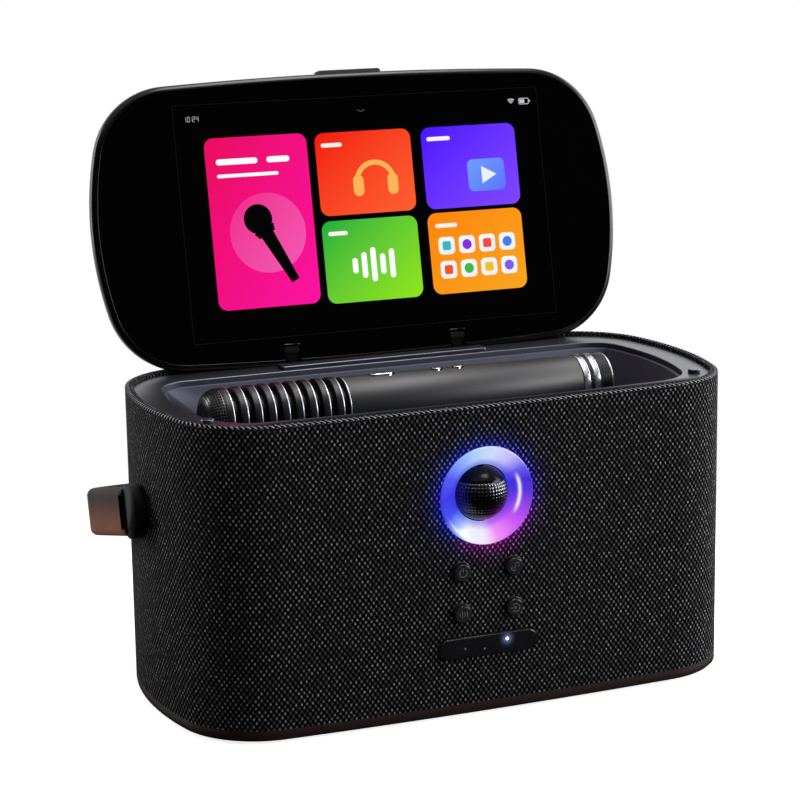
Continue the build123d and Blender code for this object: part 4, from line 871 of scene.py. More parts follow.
@dataclass(frozen=True)
class Leather(Finish):
    """Waxed brown full-grain leather: fine pebbles, with painted shade in their creases and along
    the strap's upper side.
    """

    # colour of the painted shade, in the pebbles' creases and along the strap's upper side
    shade: str = "#201512"
    pebble_mm: float = 0.9
    pebble_depth_mm: float = 0.03
    cloud_mm: float = 18.0
    axis: float = 112.0  # height of the strap's middle at the pivots
    droop: float = 14.0
    painted_shade_span: tuple[float, float] = (-9.0, 9.0)  # places across where the painted shade starts at plain brown and ends quite dark

    def looks(self, tree: Tree) -> Inputs:
        """Pebbles from cell edges with painted shade in their creases; painted shade darkens the
        brown up across the drooping strap.
        """
        spot = add_node(tree, "TexCoord", out="Object")
        pebbles = {"Vector": spot, "Scale": 1.0 / (self.pebble_mm * MM)}
        cells = add_node(tree, "TexVoronoi", pebbles, feature="DISTANCE_TO_EDGE")
        crease = add_node(tree, "MapRange", cells, 0.0, 0.12, **SMOOTH)
        # painted shade: the brown darkens up across the drooping strap, standing in for the shade on
        # its upper side
        tilt = math.radians(self.droop)
        square = (0.0, math.sin(tilt) / MM, math.cos(tilt) / MM)
        across = add_node(tree, "VectorMath DOT_PRODUCT", spot, square, out="Value")
        edges = [self.axis * math.cos(tilt) + place for place in self.painted_shade_span]
        dark = add_node(tree, "MapRange", across, *edges, **SMOOTH)
        dark = add_node(tree, "Math MULTIPLY", dark, 0.85)
        cloud = self.mottle(tree, self.cloud_mm)
        dark = add_node(tree, "Math MULTIPLY_ADD", cloud, 0.2, dark)
        colours = {0: dark, 6: self.colour, 7: self.shade}
        tint = add_node(tree, "Mix", colours, **BLEND)
        # painted shade: the pebbles' creases take the shade colour
        pebbled = {0: crease, 6: self.shade, 7: tint}
        relief = {"Height": crease, "Distance": self.pebble_depth_mm * MM}
        return {
            "Base Color": add_node(tree, "Mix", pebbled, **BLEND),
            "Specular IOR Level": 0.08,
            "Normal": add_node(tree, "Bump", relief),
        }


@dataclass(frozen=True)
class SatinEnamel(Mottled):
    """Baked satin enamel on a metal tube: smooth, with a broad grey highlight."""

    cloud: str = "#111216"
    cloud_mm: float = 0.5
    relief_mm: float = 0.006
    shine: float = 0.5

    def looks(self, tree: Tree) -> Inputs:
        """Even black with a trace of orange peel."""
        return super().looks(tree) | {"Specular IOR Level": self.shine, "IOR": 1.55}


@dataclass(frozen=True)
class PiercedEnamel(SatinEnamel):
    """Enamelled sheet pierced with rows of small holes, as over a microphone's capsule."""

    pitch_mm: tuple[float, float] = (2.0, 1.5)  # hole to hole, round and along
    hole_depth_mm: float = 0.12

    def looks(self, tree: Tree) -> Inputs:
        """Holes where the size of sin(pi u / pitch) * sin(pi v / pitch) is high."""
        uv = add_node(tree, "UVMap", uv_map="surface")
        step = (math.pi / self.pitch_mm[0], math.pi / self.pitch_mm[1], 0)
        turn = add_node(tree, "VectorMath MULTIPLY", uv, step)
        axes = add_node(tree, "SeparateXYZ", add_node(tree, "VectorMath SINE", turn)).node.outputs
        both = add_node(tree, "Math ABSOLUTE", add_node(tree, "Math MULTIPLY", axes[0], axes[1]))
        hole = add_node(tree, "MapRange", both, 0.45, 0.7, **SMOOTH)
        colours = {0: hole, 6: self.colour, 7: "#000000"}
        gloss = add_node(tree, "Math MULTIPLY_ADD", hole, -self.shine, self.shine)
        sunk = add_node(tree, "Math MULTIPLY", hole, -1.0)
        relief = {"Height": sunk, "Distance": self.hole_depth_mm * MM}
        return {
            "Base Color": add_node(tree, "Mix", colours, **BLEND),
            "Roughness": add_node(tree, "Math MULTIPLY_ADD", hole, 0.5, self.roughness),
            "Specular IOR Level": gloss,
            "IOR": 1.55,
            "Normal": add_node(tree, "Bump", relief),
        }


@dataclass(frozen=True)
class BareMetal(Finish):
    """Metal left bare: polished when smooth, brushed round its length when rough."""

    patch_mm: float = 0.3
    detail: float = 1.0
    spread: tuple[float, float] = (0.7, 1.3)  # the roughness of its patches, times its own

    def looks(self, tree: Tree) -> Inputs:
        """A metal whose roughness varies from patch to patch."""
        patches = self.mottle(tree, self.patch_mm, self.detail)
        ends = [self.roughness * share for share in self.spread]
        return {"Roughness": add_node(tree, "MapRange", patches, 0.0, 1.0, *ends), "Metallic": 1.0}


@dataclass(frozen=True)
class MirrorTile(BareMetal):
    """Small dark mirror tiles: a metal film whose tiles each sit at a slightly different gloss."""

    patch_mm: float = 1.5
    detail: float = 0.0
    spread: tuple[float, float] = (0.6, 1.5)


@dataclass(frozen=True)
class Rubber(Mottled):
    """Moulded silicone rubber: dull dark grey, slightly dusty."""

    cloud: str = "#2a2a2b"
    cloud_mm: float = 1.2
    detail: float = 3.0
    relief_mm: float = 0.02


@dataclass(frozen=True)
class CircuitLaminate(Finish):
    """Glass-epoxy circuit board under green solder resist."""

    track: str = "#2f7a4c"
    tracks_per_metre: float = 220.0

    def looks(self, tree: Tree) -> Inputs:
        """Green with paler tracks that follow a fine square pattern."""
        spot = add_node(tree, "TexCoord", out="Object")
        bricks = {"Vector": spot, "Scale": self.tracks_per_metre, "Mortar Size": 0.04}
        tracks = add_node(tree, "TexBrick", bricks, out="Fac")
        colours = {0: tracks, 6: self.colour, 7: self.track}
        return {"Base Color": add_node(tree, "Mix", colours, **BLEND)}


@dataclass(frozen=True)
class LitRing(Finish):
    """Opal acrylic lit from behind by coloured lights: the hue runs round the ring."""

    strength: float = 0.95
    inner: str = "#3038f0"  # hue of the light that gathers at the inner edge
    inner_mm: tuple[float, float] = (16.0, 20.5)  # radii between which that hue fades out
    painted_highlight: str = "#f4eaff"
    painted_highlight_radius: float = 20.6  # a painted highlight on the right only: a bright line standing in for a reflection
    painted_highlight_width: float = 0.75
    hues: tuple[tuple[float, str], ...] = (
        (0.00, "#5b34e0"), (0.045, "#4a2be0"), (0.09, "#6a5cf2"), (0.15, "#c4beff"),
        (0.22, "#d6e2ff"), (0.30, "#b4d2ff"), (0.36, "#86a8ff"), (0.42, "#5a5cf5"),
        (0.50, "#3f38ee"), (0.57, "#4450f2"), (0.63, "#9cb8ff"), (0.67, "#eaf0ff"),
        (0.74, "#f4ecff"), (0.79, "#f28cf8"), (0.86, "#d75cfa"), (0.93, "#a648f0"),
        (1.00, "#5b34e0"),
    )

    def looks(self, tree: Tree) -> Inputs:
        """The hue round the ring, blue towards the inner edge, with a painted highlight line at the
        right.
        """
        hue, away = round_the_ring(tree, self.hues)
        outer = add_node(tree, "MapRange", away, *self.inner_mm, **SMOOTH)
        near = add_node(tree, "Math MULTIPLY_ADD", outer, -0.55, 0.55)
        glow = add_node(tree, "Mix", {0: near, 6: hue, 7: self.inner}, **BLEND)
        # painted highlight: a bright line mixed into the ring's light at the right, standing in for
        # a reflection
        colours = {0: self.painted_highlight_line(tree, away), 6: glow, 7: self.painted_highlight}
        return {
            "Coat Weight": 0.3,
            "Coat Roughness": 0.08,
            "Emission Color": add_node(tree, "Mix", colours, **BLEND),
            "Emission Strength": self.strength,
        }

    def painted_highlight_line(self, tree: Tree, away: Socket) -> Socket:
        """A painted highlight: exp(-((r - radius) / width) ** 2), kept where z / r is small and x is
        positive.

        Args:
            tree: the node tree.
            away: distance from the ring's axis in millimetres.

        Returns:
            The line's strength, from 0 to 1.
        """
        off = add_node(tree, "Math SUBTRACT", away, self.painted_highlight_radius)
        off = add_node(tree, "Math DIVIDE", off, self.painted_highlight_width)
        power = add_node(tree, "Math MULTIPLY", add_node(tree, "Math POWER", off, 2.0), -1.0)
        line = add_node(tree, "Math EXPONENT", power)
        spot = add_node(tree, "TexCoord", out="Object")
        axes = add_node(tree, "SeparateXYZ", spot).node.outputs
        right = add_node(tree, "Math GREATER_THAN", axes[0], 0.0)
        rise = add_node(tree, "Math DIVIDE", axes[2], MM)
        rise = add_node(tree, "Math SUBTRACT", rise, RING_CENTRE[2])
        level = add_node(tree, "Math ADD", add_node(tree, "Math DIVIDE", rise, away), 0.05)
        ends = add_node(tree, "Math ABSOLUTE", level)
        past = add_node(tree, "MapRange", ends, 0.3, 0.6, **SMOOTH)
        kept = add_node(tree, "Math MULTIPLY_ADD", past, -1.0, 1.0)
        line = add_node(tree, "Math MULTIPLY", line, kept)
        return add_node(tree, "Math MULTIPLY", line, right)


@dataclass(frozen=True)
class Glow(Finish):
    """Part of a lit picture under glass: a slanting blend of two colours, with its own light."""

    second: str = "#ffffff"
    strength: float = 1.0

    def looks(self, tree: Tree) -> Inputs:
        """Blend by (u + 1 - v) / 2 over the piece's own UV square, under the glass's gloss."""
        uv = add_node(tree, "UVMap", uv_map="surface")
        axes = add_node(tree, "SeparateXYZ", uv).node.outputs
        slant = add_node(tree, "Math SUBTRACT", axes[0], axes[1])
        blend = add_node(tree, "Math MULTIPLY_ADD", slant, 0.5, 0.5)
        colours = {0: blend, 6: self.colour, 7: self.second}
        return {
            "Base Color": "#020202",
            "IOR": 1.45,
            "Emission Color": add_node(tree, "Mix", colours, **BLEND),
            "Emission Strength": self.strength,
        }


CLOTH = SpeakerCloth("knitted_speaker_cloth", "#141416", 0.85)
BASE_ABS = MouldedPlastic("satin_abs_base", "#20110e", 0.6, shine=0.08)
TRAY_ABS = TrayPlastic("satin_abs_tray", "#1b1d22", 0.32, grain_mm=0.5, depth_mm=0.004)
BLACK_ABS = MouldedPlastic("black_abs_trim", "#0b0b0c", 0.38)
BUTTON_ABS = MouldedPlastic("dark_grey_abs_buttons", "#202022", 0.24)
HINGE_ABS = MouldedPlastic("black_abs_hinge", "#030303", 0.7, shine=0.1)
SIGN_INK = MouldedPlastic("grey_moulded_signs", "#545459", 0.5)
HUB_ABS = MouldedPlastic("black_abs_hub", "#060606", 0.6, shine=0.15)
SHELL_ABS = MouldedPlastic("black_abs_shell", "#0e0e0f", 0.6)
LACQUER = PianoLacquer("piano_black_abs", "#050505", 0.26)
GLASS = PrintedGlass("black_printed_glass", "#010102", 0.015)
WINDOW = IndicatorGlass("smoked_acrylic_window", "#0e0e10", 0.22)
BROWN_LEATHER = Leather("waxed_brown_leather", "#9c5a3e", 0.55)
ENAMEL = SatinEnamel("satin_black_enamel", "#0b0b0c", 0.38, shine=0.25)
TUBE = SatinEnamel("matt_grey_enamel", "#0e0f15", 0.46)
CUT_EDGE = BareMetal("diamond_cut_edge", "#d0d2d8", 0.3)
DARK_CHROME = BareMetal("dark_chrome_rims", "#b4b5ba", 0.3)
NOSE = PiercedEnamel("pierced_black_enamel", "#121214", 0.26)
CHROME = BareMetal("polished_chrome", "#e4e5ea", 0.24)
STEEL = BareMetal("zinc_plated_steel", "#8f9194", 0.32)
ALUMINIUM = BareMetal("extruded_aluminium", "#c4c6c9", 0.3)
MAGNET = BareMetal("black_plated_iron", "#2b2b2d", 0.45)
SILICONE = Rubber("black_silicone", "#141415", 0.75)
LAMINATE = CircuitLaminate("green_circuit_laminate", "#0f3d24", 0.35)
CELL_FILM = MouldedPlastic("blue_cell_film", "#1f4f86", 0.3)
CONE = MouldedPlastic("black_cone_pulp", "#101011", 0.8, grain_mm=0.8, depth_mm=0.05)
OPAL = LitRing("lit_opal_acrylic", "#1c1a34", 0.25)
TILES = MirrorTile("dark_mirror_tiles", "#68686e", 0.22)
BALL_CAP = MirrorTile("dark_lacquered_cap", "#1d1d20", 0.2)


# ---------------------------------------------------------------- pieces and bodies


class Body(Enum):
    """The bodies that pieces ride on."""

    CABINET = "cabinet"
    LID = "lid"
    HANDLE = "handle"
    BALL = "ball"
    MICROPHONE = "microphone"


def settle(
    piece: Piece,
    body: Body | str,
    finish: Finish,
    nodes: tuple[str, ...] = (),
) -> None:
    """Gives a piece its finish, its body and the CAD nodes it stands for.

    Args:
        piece: the piece's object.
        body: the body it rides on; a button or a key is a body of its own name.
        finish: what it is made of.
        nodes: the CAD nodes that it replaces.
    """
    piece.data.materials.clear()
    piece.data.materials.append(finish.material())
    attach(piece, body.value if isinstance(body, Body) else body)
    if nodes:
        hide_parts(*nodes)
    LOG.info("%s: %d faces", piece.name, len(piece.data.polygons))


def carried(node: str, body: Body | str, finish: Finish, sharp: float = 32.0) -> None:
    """Shows a CAD node as a merged, smoothly shaded copy of its own mesh.

    Args:
        node: the CAD node, which the copy replaces.
        body: the body it rides on.
        finish: what it is made of.
        sharp: angle in degrees from which an edge stays sharp.
    """
    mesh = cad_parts[node].data.copy()
    finish_mesh(mesh, sharp)
    settle(linked(f"{node}_skin", mesh), body, finish, (node,))


def paint(finish: Finish, *nodes: str) -> None:
    """Gives CAD nodes that stay shown as they are a finish.

    Args:
        finish: what they are made of.
        *nodes: the nodes' names.
    """
    for node in nodes:
        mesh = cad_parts[node].data
        mesh.materials.clear()
        mesh.materials.append(finish.material())


@dataclass
class Cabinet:
    """The cloth cabinet, its base, tray and rear panel."""

    front_bulge: float = 4.5
    end_bulge: float = 18.0
    corner: float = 48.0
    cloth_thickness: float = 1.2
    cloth_edge: float = 1.0  # radius over the tray's lip, outside
    cloth_tuck: float = 0.6  # radius over the lip, inside
    cloth_proud: float = 0.08
    cloth_seat: float = 0.19  # how far the cloth's underside lies below its top
    clearance: float = 0.15
    button_hole: float = 5.8
    window_hole: tuple[float, float, float] = (58.3, 11.8, 5.0)  # width, height and corner
    panel_hole: tuple[float, float, float] = (96.3, 30.3, 4.0)
    boss_hole: float = 11.65
    lip_width: float = 3.5
    lip_top: float = 0.25  # how far the tray's lip lies below the cloth over it
    rim: float = 169.0
    ledge_width: float = 2.5
    ledge_drop: float = 3.0
    well_rim: float = 20.0
    well_back: float = 33.0
    well_corner: float = 18.0
    well_draft: float = 22.0
    tray_wall: float = 2.4
    tray_depth: float = 7.8  # depth of the tray's plate under its top
    soft: float = 0.7
    trench_radius: float = 9.67
    trench_half: float = 127.0
    slot: tuple[float, float, float] = (9.3, 7.3, 0.3)  # a hinge bracket's slot
    low: np.ndarray = field(default_factory=lambda: span("fabric_sleeve")[0])
    high: np.ndarray = field(default_factory=lambda: span("fabric_sleeve")[1])

    @property
    def plan(self) -> Outline:
        """The cabinet's outline in plan."""
        length, depth = (self.high - self.low)[:2]
        return bowed_plan(length, depth, self.front_bulge, self.end_bulge, self.corner)

    def openings(self) -> list[Piece]:
        """Solids that cut the cloth: ring, buttons, window, side bosses and rear panel."""
        inside, outside = self.low[1] + 6, self.high[1] + 2
        ring, boss = middle("light_ring"), middle("pivot_bosses")
        window, panel = middle("indicator_window"), middle("port_panel")
        radius = span("light_ring")[1][0] + self.clearance
        front = [(ring, round_disc(radius, 128))]
        front += [(middle(name), round_disc(self.button_hole, 48)) for name in BUTTONS]
        front += [(window, rounded_box(*self.window_hole))]
        tools = [
            cutter(outline, 0, 12, facing_front(spot[0], spot[2], inside))
            for spot, outline in front
        ]
        rear = facing_front(panel[0], panel[2], outside)
        tools.append(cutter(rounded_box(*self.panel_hole), 0, 8, rear))
        across = Place((self.low[0] - 2, boss[1], boss[2]), (0, 1, 0), (0, 0, 1))
        length = self.high[0] - self.low[0] + 4
        tools.append(cutter(round_disc(self.boss_hole, 64), 0, length, across))
        return tools

    def cloth(self) -> None:
        """The sleeve: up the outside, over the tray's lip and down to the rim inside it."""
        bottom, top, thick = self.low[2], self.high[2], self.cloth_thickness
        edge, tuck, inner = self.cloth_edge, self.cloth_tuck, thick + self.lip_width
        foot, seat = self.rim + 0.02, top - self.cloth_seat
        profile = [(0.0, bottom), (0.0, bottom + 30), (0.0, top - 40), (0.0, top - edge)]
        profile += fillet_run((edge, top - edge), edge, 160, 90, 5)
        profile += [(inner - tuck, top)]
        profile += fillet_run((inner - tuck, top - tuck), tuck, 70, 0, 4)
        profile += [(inner + self.cloth_proud, foot), (inner, foot), (inner, seat)]
        profile += [(thick, seat), (thick, bottom), (0.0, bottom)]
        grid = swept(self.plan, profile)
        travel = self.plan.travel()
        repeat = 2 * CLOTH.pitch_mm[0]
        travel *= round(travel[-1] / repeat) * repeat / travel[-1]
        sleeve = grid_piece("cloth_sleeve", grid, uv=grid_uv(grid, travel), sharp=60)
        cut(sleeve, self.openings(), sharp=60)
        settle(sleeve, Body.CABINET, CLOTH, ("fabric_sleeve",))

    def tray_rows(self) -> list[tuple[Outline, float, float]]:
        """The tray's profile, from its underside over lip, rim and ledge to the well's floor.

        Returns:
            Rows of an outline, how far it is drawn in, and its height.
        """
        low, high = (corner[2] for corner in span("top_tray"))
        rim, floor, under = self.rim, low + self.tray_wall, high - self.tray_depth
        lip_top, ledge = self.high[2] - self.lip_top, rim - self.ledge_drop
        well = well_plan(self.plan, self.well_rim, self.high[1] - self.well_back, self.well_corner)
        slope, steep = (f(math.radians(self.well_draft)) for f in (math.tan, math.cos))
        lip, wide, width, soft = self.cloth_thickness, self.lip_width, self.ledge_width, self.soft
        mouth = width + (ledge - under) * slope - self.tray_wall / steep
        foot = mouth + (under - low) * slope
        bottom = width + (ledge - floor) * slope
        outside = [(lip, under), (lip, self.high[2] - 1.0), (lip + 0.8, lip_top)]
        outside += [(lip + wide - 0.05, lip_top), (lip + wide - 0.05, rim)]
        inside = [(-soft, rim), *fillet_run((-soft, rim - soft), soft, 90, 0, 5)]
        inside += [(0.0, ledge), (width - soft, ledge)]
        inside += fillet_run((width - soft, ledge - soft), soft, 78, 22, 4)
        inside += [(bottom - 1.2, floor + 2.6), (bottom + 0.3, floor + 0.5), (bottom + 1.6, floor)]
        rows = [(well, foot, low), (well, mouth, under)]
        return rows + [(self.plan, *p) for p in outside] + [(well, *p) for p in inside]

    def tray(self) -> None:
        """The tray: lip, flat rim, ledge and sloping well, each edge with a small round.

        Rows of the plan's outline and of the well's are taken at the same angles about one hub, so
        that they join into one closed grid; the lid's trench and the hinge slots are cut out of it.
        """
        hub = (0.0, middle("mic_barrel")[1])
        grid = []
        for outline, inset, z in self.tray_rows():
            flat = fanned(outline.points(inset), hub)
            grid.append(np.column_stack([flat, np.full(len(flat), z)]))
        piece = grid_piece("tray_shell", np.array(grid), LEVEL, (True, True), sharp=35)
        axis = Place((0, *HINGE), (0, 1, 0), (0, 0, 1))
        half = self.trench_half
        tools = [cutter(round_disc(self.trench_radius), -half, half, axis)]
        bottom, top = span("top_tray")[1][2] - self.tray_depth - 5, self.high[2] + 5
        for x in KNUCKLES:
            place = Place((x, HINGE[0], 0))
            tools.append(cutter(rounded_box(*self.slot, 2), bottom, top, place))
        cut(piece, tools, 35)
        settle(piece, Body.CABINET, TRAY_ABS, ("top_tray",))

    def build(self) -> None:
        """Makes the cabinet's pieces."""
        self.cloth()
        carried("base_pan", Body.CABINET, BASE_ABS)
        self.tray()
        for node, finish, slot, sharp in (
            ("hinge_cover", TRAY_ABS, "tray_plastic", 32),
            ("rim_bumpers", TRAY_ABS, "rubber", 32),
            ("hinge_brackets", HINGE_ABS, "trim_plastic", 32),
            ("mic_saddles", SILICONE, "rubber", 32),
            ("rubber_foot", SILICONE, "rubber", 32),
            ("port_panel", BLACK_ABS, "trim_plastic", 12),
            ("pivot_bosses", BLACK_ABS, "trim_plastic", 32),
        ):
            carried(node, Body.CABINET, finish, sharp)
        paint(STEEL, "base_screws", "port_sockets", "pivot_bolts")
        paint(STEEL, "woofer_basket_left", "woofer_basket_right")
        paint(MAGNET, "woofer_magnet_left", "woofer_magnet_right")
        paint(CONE, "woofer_cone_left", "woofer_cone_right", "radiator_diaphragm")
        paint(BLACK_ABS, "radiator_frame")
        paint(SHELL_ABS, "cabinet_shell")
        paint(CELL_FILM, "battery_cells")
        paint(LAMINATE, "main_board")
        paint(ALUMINIUM, "heat_sink")


@dataclass(frozen=True)
class Patch:
    """A rounded plate of the lit picture: centre, size and corner radius, and its two colours."""

    x: float
    y: float
    width: float
    height: float
    corner: float
    first: str
    second: str
    layer: int = 1


@dataclass
class Lid:
    """The lid with its screen: shell, glass, picture and finger tab."""

    inset: float = 2.0
    front_round: float = 3.4
    back_round: float = 7.0
    back: float = -7.7
    face: float = 4.3
    glass_inset: float = 3.5
    glass_gap: float = 0.15
    glass_thickness: float = 1.8
    ground_edge: float = 0.12
    open_angle: float = 102.0
    notch_width: float = 10.0
    notch_top: float = 4.05
    notch_reach: float = 14.0
    layer: float = 0.02
    lift: float = 0.002  # of the picture's plates over the glass

    def plane(self, x: float = 0.0, y: float = 0.0) -> Place:
        """The open lid's plane, its origin at the middle of the outline plus (x, y).

        Args:
            x: shift across the lid.
            y: shift up the lid.

        Returns:
            The frame; its normal points out of the screen.
        """
        angle = math.radians(self.open_angle)
        up = np.array([0.0, -math.cos(angle), math.sin(angle)])
        origin = np.array([0.0, *HINGE]) + up * (HINGE[0] + y) + np.array([x, 0, 0])
        return Place(tuple(origin), (1, 0, 0), tuple(up))

    def notches(self) -> list[Piece]:
        """Blocks that clear the hinge knuckles."""
        low, high = -HINGE[0] - self.notch_reach, -HINGE[0] + self.notch_top
        outline = rounded_box(self.notch_width, high - low, 0.6, 3)
        return [cutter(outline, -20, 20, self.plane(x, (low + high) / 2)) for x in KNUCKLES]

    def shell(self, plan: Outline) -> None:
        """The lacquered shell: round back edge, round front edge and a pocket for the glass.

        Args:
            plan: the cabinet's outline, which the lid's follows.
        """
        i, f, b = self.inset, self.front_round, self.back_round
        pocket = i + self.glass_inset
        floor = self.face - self.glass_thickness
        profile = [(i + b + 14, self.back), (i + b + 2, self.back)]
        profile += fillet_run((i + b, self.back + b), b, 270, 180, 12)
        profile += fillet_run((i + f, self.face - f), f, 180, 90, 8)
        profile += [(pocket, self.face - 0.05), (pocket, floor), (pocket + 2, floor)]
        piece = grid_piece("lid_casing", swept(plan, profile), self.plane(), (True, True))
        cut(piece, self.notches())
        settle(piece, Body.LID, LACQUER, ("lid_shell",))

    def glass(self, plan: Outline) -> None:
        """The printed glass: a flat plate with a finely ground edge.

        Args:
            plan: the cabinet's outline.
        """
        i = self.inset + self.glass_inset + self.glass_gap
        low = self.face - self.glass_thickness
        ground = self.ground_edge
        profile = [(i + 6, low), (i, low), (i, self.face - ground)]
        profile += [(i + ground, self.face), (i + 6, self.face)]
        grid = swept(plan, profile)
        piece = grid_piece("touch_glass", grid, self.plane(), (True, True), sharp=20)
        cut(piece, self.notches(), 20)
        settle(piece, Body.LID, GLASS, ("cover_glass",))

    def patch(self, name: str, spot: Patch, strength: float = 1.0) -> None:
        """One lit plate of the picture, a few hundredths above the glass.

        Args:
            name: the piece's name.
            spot: its place, size and colours.
            strength: of its light.
        """
        outline = rounded_box(spot.width, spot.height, spot.corner)
        high = self.face + spot.layer * self.layer
        grid = swept(outline, [(0, self.face + self.lift), (0, high)])
        uv = grid[..., :2] / np.array([spot.width, spot.height]) + 0.5
        piece = grid_piece(name, grid, self.plane(spot.x, spot.y), (False, True), uv, 20)
        glow = Glow(f"glow_{name}", spot.first, 0.02, second=spot.second, strength=strength)
        settle(piece, Body.LID, glow)

    def signs(self, name: str, shapes: list[np.ndarray], code: str, layer: int) -> None:
        """Flat signs of one colour, each an (n, 2) outline in the lid's plane.

        Args:
            name: the piece's name.
            shapes: the outlines.
            code: their colour.
            layer: how many layers high they lie.
        """
        low, high = self.face + self.lift, self.face + layer * self.layer
        piece = plates(name, shapes, self.plane(), low, high, 20)
        settle(piece, Body.LID, Glow(f"glow_{name}", code, 0.02, second=code))

    def build(self, plan: Outline) -> None:
        """Makes the lid's pieces."""
        self.shell(plan)
        self.glass(plan)
        ScreenPicture(self).build()
        carried("lid_tab", Body.LID, SILICONE)
        carried("hinge_pins", Body.LID, STEEL)
        paint(BLACK_ABS, "display_panel")
        paint(LAMINATE, "lid_board")


def bar(
    x: float, y: float, width: float, height: float, corner: float | None = None
) -> np.ndarray:
    """A rounded bar's outline, by default with round ends."""
    radius = min(width, height) / 2 - 1e-3 if corner is None else corner
    return rounded_box(width, height, radius, 5).points()[:-1] + np.array([x, y])


def disc(x: float, y: float, radius: float) -> np.ndarray:
    """A disc's outline."""
    return round_disc(radius, 40).points()[:-2] + np.array([x, y])


def ribbon(points: np.ndarray, width: float) -> np.ndarray:
    """The outline of an open line with a width: points offset to both sides by half of it.

    Args:
        points: (n, 2) points of the line.
        width: its width.

    Returns:
        (2 n, 2) points.
    """
    run = np.gradient(points, axis=0)
    run /= np.linalg.norm(run, axis=1, keepdims=True)
    side = np.column_stack([-run[:, 1], run[:, 0]]) * width / 2
    return np.concatenate([points - side, (points + side)[::-1]])


def arc_line(x: float, y: float, radius: float, start: float, end: float) -> np.ndarray:
    """Points of an arc, in degrees."""
    angle = np.radians(np.linspace(start, end, 25))
    return np.column_stack([x + radius * np.cos(angle), y + radius * np.sin(angle)])


def digits(
    text: str, x: float, y: float, width: float, height: float, stroke: float = 0.2
) -> list[np.ndarray]:
    """Clock digits of straight strokes: each digit lights some of seven strokes.

    Args:
        text: the digits, of which the first two are the hours.
        x: middle of the first digit.
        y: middle of all digits.
        width: of a digit.
        height: of a digit.
        stroke: a stroke's width.

    Returns:
        The strokes' outlines.
    """
    lit = {"0": "abcdef", "1": "bc", "2": "abged", "4": "fgbc"}
    half = height / 2
    level = {"a": half, "g": 0.0, "d": -half}
    upright = {"f": (-1, half), "b": (1, half), "e": (-1, -half), "c": (1, -half)}
    shapes = []
    for place, digit in enumerate(text):
        cx = x + place * width * 1.8 + (width * 0.7 if place > 1 else 0)
        for key in lit[digit]:
            if key in level:
                shapes.append(bar(cx, y + level[key], width, stroke, 0.09))
            else:
                side, rise = upright[key]
                shapes.append(bar(cx + side * width / 2, y + rise / 2, stroke, half, 0.09))
    return shapes


